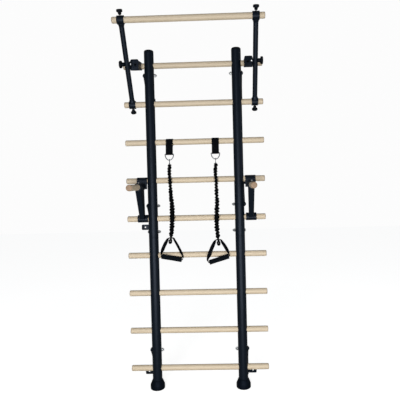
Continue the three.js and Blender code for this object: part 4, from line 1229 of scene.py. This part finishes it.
def make_straps():
    for name in SIDES:
        middle = Vector((centre(f"strap_{name}").x, RUNG_Y, RUNG_Z[3]))
        guide = [middle + Vector((0, back, up)) for back, up in strap_route()]
        path = smooth_path(guide, 150, closed=True)
        section = rounded_rectangle(WEBBING_WIDTH, WEBBING_THICK, WEBBING_EDGE)
        mesh = swept(path, lambda index: Vector((1, 0, 0)), lambda index: section, closed=True)
        piece(f"strap_{name}", mesh, "webbing", "frame", f"strap_{name}", sharp=WIRE_SHARP_ANGLE)
        make_stitches(name, middle)


def make_stitches(name, middle):
    """A sewn box on the front of the doubled webbing."""
    start = Vector(TAIL_START)
    end = Vector(TAIL_END)
    down = (end - start).normalized()
    front = Vector((down.y, -down.x))
    length = (end - start).length
    stitch = 0.0042
    inset = 0.005
    half = WEBBING_WIDTH / 2 - inset
    rows = [((-half, 0.42), (half, 0.42)), ((-half, 0.82), (half, 0.82)), ((-half, 0.42), (-half, 0.82)),
            ((half, 0.42), (half, 0.82)), ((-half, 0.42), (half, 0.82)), ((-half, 0.82), (half, 0.42))]
    shape = bmesh.new()
    for (x0, share0), (x1, share1) in rows:
        run = math.hypot(x1 - x0, (share1 - share0) * length)
        count = round(run / stitch)
        for index in range(count):
            ends = []
            for share in ((index + 0.14) / count, (index + 0.86) / count):
                spot = start + down * (length * (share0 + (share1 - share0) * share))
                spot += front * (WEBBING_THICK + 0.0004)
                ends.append(middle + Vector((x0 + (x1 - x0) * share, spot.x, spot.y)))
            add_stitch(shape, *ends)
    piece(f"strap_{name}_stitches", to_mesh(shape, "stitches"), "thread", "frame", sharp=WIRE_SHARP_ANGLE)


def add_stitch(shape, start, end):
    """One stitch: a short thread that thins towards its two ends."""
    along = (end - start).normalized()
    first = along.orthogonal().normalized()
    second = along.cross(first)
    thick = 0.0006
    rings = []
    for share, size in ((0.0, 0.35), (0.2, 0.9), (0.5, 1.0), (0.8, 0.9), (1.0, 0.35)):
        middle = start.lerp(end, share)
        rings.append([shape.verts.new(middle + (first * a + second * b) * size) for a, b in circle(thick, 6)])
    for here, there in zip(rings, rings[1:]):
        for side in range(6):
            turn = (side + 1) % 6
            shape.faces.new((here[side], here[turn], there[turn], there[side]))
    shape.faces.new(list(reversed(rings[0])))
    shape.faces.new(rings[-1])


# Rings and links
def make_rings_and_links():
    eye_z = RUNG_Z[3] + TAIL_END[1]
    wire_z = eye_z - RING_DROP
    link_top = RING_WIRE + LINK_WIRE + 0.0007
    link_bottom = link_top - LINK_LENGTH
    for name in SIDES:
        x = centre(f"strap_{name}").x
        y = RUNG_Y + TAIL_END[0]
        straight = RING_HALF_WIDTH - RING_CORNER - 0.002
        points = [(-straight, 0.0), (0.0, 0.0), (straight, 0.0)]
        for step in range(17):
            angle = math.pi * step / 16
            depth = RING_CORNER + (RING_DROP - RING_CORNER) * math.sin(angle)
            points.append((RING_HALF_WIDTH * math.cos(angle), -depth))
        guide = [Vector((x + across, y, eye_z + up)) for across, up in points]
        path = smooth_path(guide, 96, closed=True)
        mesh = swept(path, lambda index: Vector((0, 1, 0)), lambda index: circle(RING_WIRE, 16), True, False)
        piece(f"ring_{name}", mesh, "wire", f"ring_{name}", f"ring_{name}", sharp=WIRE_SHARP_ANGLE)
        points = []
        for middle, start in ((link_top - LINK_HALF_WIDTH, 0.0), (link_bottom + LINK_HALF_WIDTH, math.pi)):
            for step in range(17):
                angle = start + math.pi * step / 16
                points.append((LINK_HALF_WIDTH * math.cos(angle), middle + LINK_HALF_WIDTH * math.sin(angle)))
        path = [Vector((x, y + back, wire_z + up)) for back, up in points]
        link = swept(path, lambda index: Vector((1, 0, 0)), lambda index: circle(LINK_WIRE, 16), True, False)
        crimp = [(0, link_bottom - FERRULE_LENGTH)]
        for step in range(15):
            share = step / 14
            waist = 0.0006 * math.sin(3 * math.pi * share) ** 2
            crimp.append((FERRULE_RADIUS - waist, link_bottom - FERRULE_LENGTH * (1 - share)))
        crimp.append((0, link_bottom))
        ferrule = turned(crimp, "Z", (x, y, wire_z), SMALL_SIDES)
        piece(f"link_{name}", carved(link, [ferrule]), "wire", f"band_{name}", f"link_{name}", sharp=WIRE_SHARP_ANGLE)


# Hand loops
# Both sides of a ribbon are listed from the grip upwards: the share of the full twist, of the width and of
# the thickness, which is doubled and stitched over the top
STRAND_SHARES = (0.25, 0.5, 0.75)
STRAND_TURNS = (0, 0, 0, 0.4, 1, 1, 1, 0.6, 0.2, 0)
STRAND_WIDTHS = (RIBBON_GATHER, RIBBON_GATHER, 0.8, 0.9, 1, 1, 1, 1, 1, 1)
STRAND_LAYERS = (1, 1, 1, 1, 1, 1, 1, 1.6, 2.2, 2.2)


def ribbon_side(name, sign):
    """One side of the ribbon's middle line, from inside the grip up to the middle of the top."""
    band = BANDS[name]
    grip = centre(f"grip_{name}")
    lean = Matrix.Rotation(math.radians(band["tilt"]), 4, "Y")
    half = GRIP_LENGTH / 2
    stand = half + RIBBON_STAND
    sag = RIBBON_BEND * (1 - math.sqrt(0.5))
    bend = [(half - RIBBON_STAND, 0), (stand - sag, sag), (stand, RIBBON_BEND)]
    bend.append((stand, GRIP_RADIUS + RIBBON_STAND))
    low = [grip + lean @ Vector((sign * across, 0, up)) for across, up in bend]
    top = band_route(name)[-1]
    reach = RIBBON_TOP / 2
    turn = RIBBON_CORNER * (1 - math.sqrt(0.5))
    corner = [(reach, -RIBBON_CORNER), (reach - turn, -turn), (reach - RIBBON_CORNER, 0)]
    high = [top + Vector((sign * across, 0, up)) for across, up in corner]
    strand = []
    for share in STRAND_SHARES:
        outward = sign * 4 * share * (1 - share) * STRAND_BULGE
        strand.append(low[-1].lerp(high[0], share) + Vector((outward, 0, 0)))
    return low + strand + high


def nearest_value(guide, values, point):
    """The value at the spot of a closed guide that lies nearest to a point."""
    nearest = None
    found = values[0]
    for index, value in enumerate(values):
        turn = (index + 1) % len(guide)
        span = guide[turn] - guide[index]
        share = (point - guide[index]).dot(span) / span.length_squared
        share = min(1.0, max(0.0, share))
        gap = (guide[index] + span * share - point).length
        if nearest is None or gap < nearest:
            nearest = gap
            found = value + (values[turn] - value) * share
    return found


def make_hand_loops():
    for name in SIDES:
        guide = ribbon_side(name, 1) + ribbon_side(name, -1)[::-1]
        full_twists = BANDS[name]["twists"]
        twists = [full_twists["right"] * turn for turn in STRAND_TURNS]
        twists += [full_twists["left"] * turn for turn in reversed(STRAND_TURNS)]
        widths = [RIBBON_WIDTH * share for share in STRAND_WIDTHS + STRAND_WIDTHS[::-1]]
        thicks = [RIBBON_THICK * share for share in STRAND_LAYERS + STRAND_LAYERS[::-1]]
        count = 180
        path = smooth_path(guide, count, closed=True)
        sides = []
        sections = []
        for point in path:
            twist = nearest_value(guide, twists, point)
            sides.append(Vector((math.sin(twist), math.cos(twist), 0)))
            width = nearest_value(guide, widths, point)
            thick = nearest_value(guide, thicks, point)
            sections.append(rounded_rectangle(width, thick, WEBBING_EDGE))
        mesh = swept(path, sides.__getitem__, sections.__getitem__, closed=True)
        piece(f"hand_strap_{name}", mesh, "webbing", f"band_{name}", f"hand_strap_{name}", sharp=WIRE_SHARP_ANGLE)
        make_grip(name)


def make_grip(name):
    """A foam tube with slanting moulded ribs."""
    half = GRIP_LENGTH / 2
    outer = [(GRIP_BORE, -half)]
    outer += arc((GRIP_RADIUS - GRIP_EDGE, -half + GRIP_EDGE), GRIP_EDGE, -90, 0, 5)
    steps = 40
    for step in range(1, steps):
        outer.append((GRIP_RADIUS, -half + GRIP_EDGE + (GRIP_LENGTH - 2 * GRIP_EDGE) * step / steps))
    outer += arc((GRIP_RADIUS - GRIP_EDGE, half - GRIP_EDGE), GRIP_EDGE, 0, 90, 5)
    outer += [(GRIP_BORE, half), (GRIP_BORE, -half)]
    slant = 60.0

    def ribbed(radius, along, angle):
        if radius < GRIP_RADIUS - GRIP_EDGE / 2:
            return radius
        return radius + GRIP_RIB * (math.cos(GRIP_RIBS * angle + slant * along) - 1)

    mesh = turned(outer, "X", sides=GRIP_RIBS * 10, outline=ribbed)
    lean = Matrix.Rotation(math.radians(BANDS[name]["tilt"]), 4, "Y")
    moved(mesh, Matrix.Translation(centre(f"grip_{name}")) @ lean)
    grip = piece(f"grip_{name}", mesh, "foam", f"grip_{name}", f"grip_{name}")


light_studio()
make_rungs()
make_uprights()
make_caps_and_feet()
make_bolts()
make_wall_brackets()
make_pull_up_frame()
make_dip_units()
make_straps()
make_rings_and_links()
make_hand_loops()

bpy.context.view_layer.update()
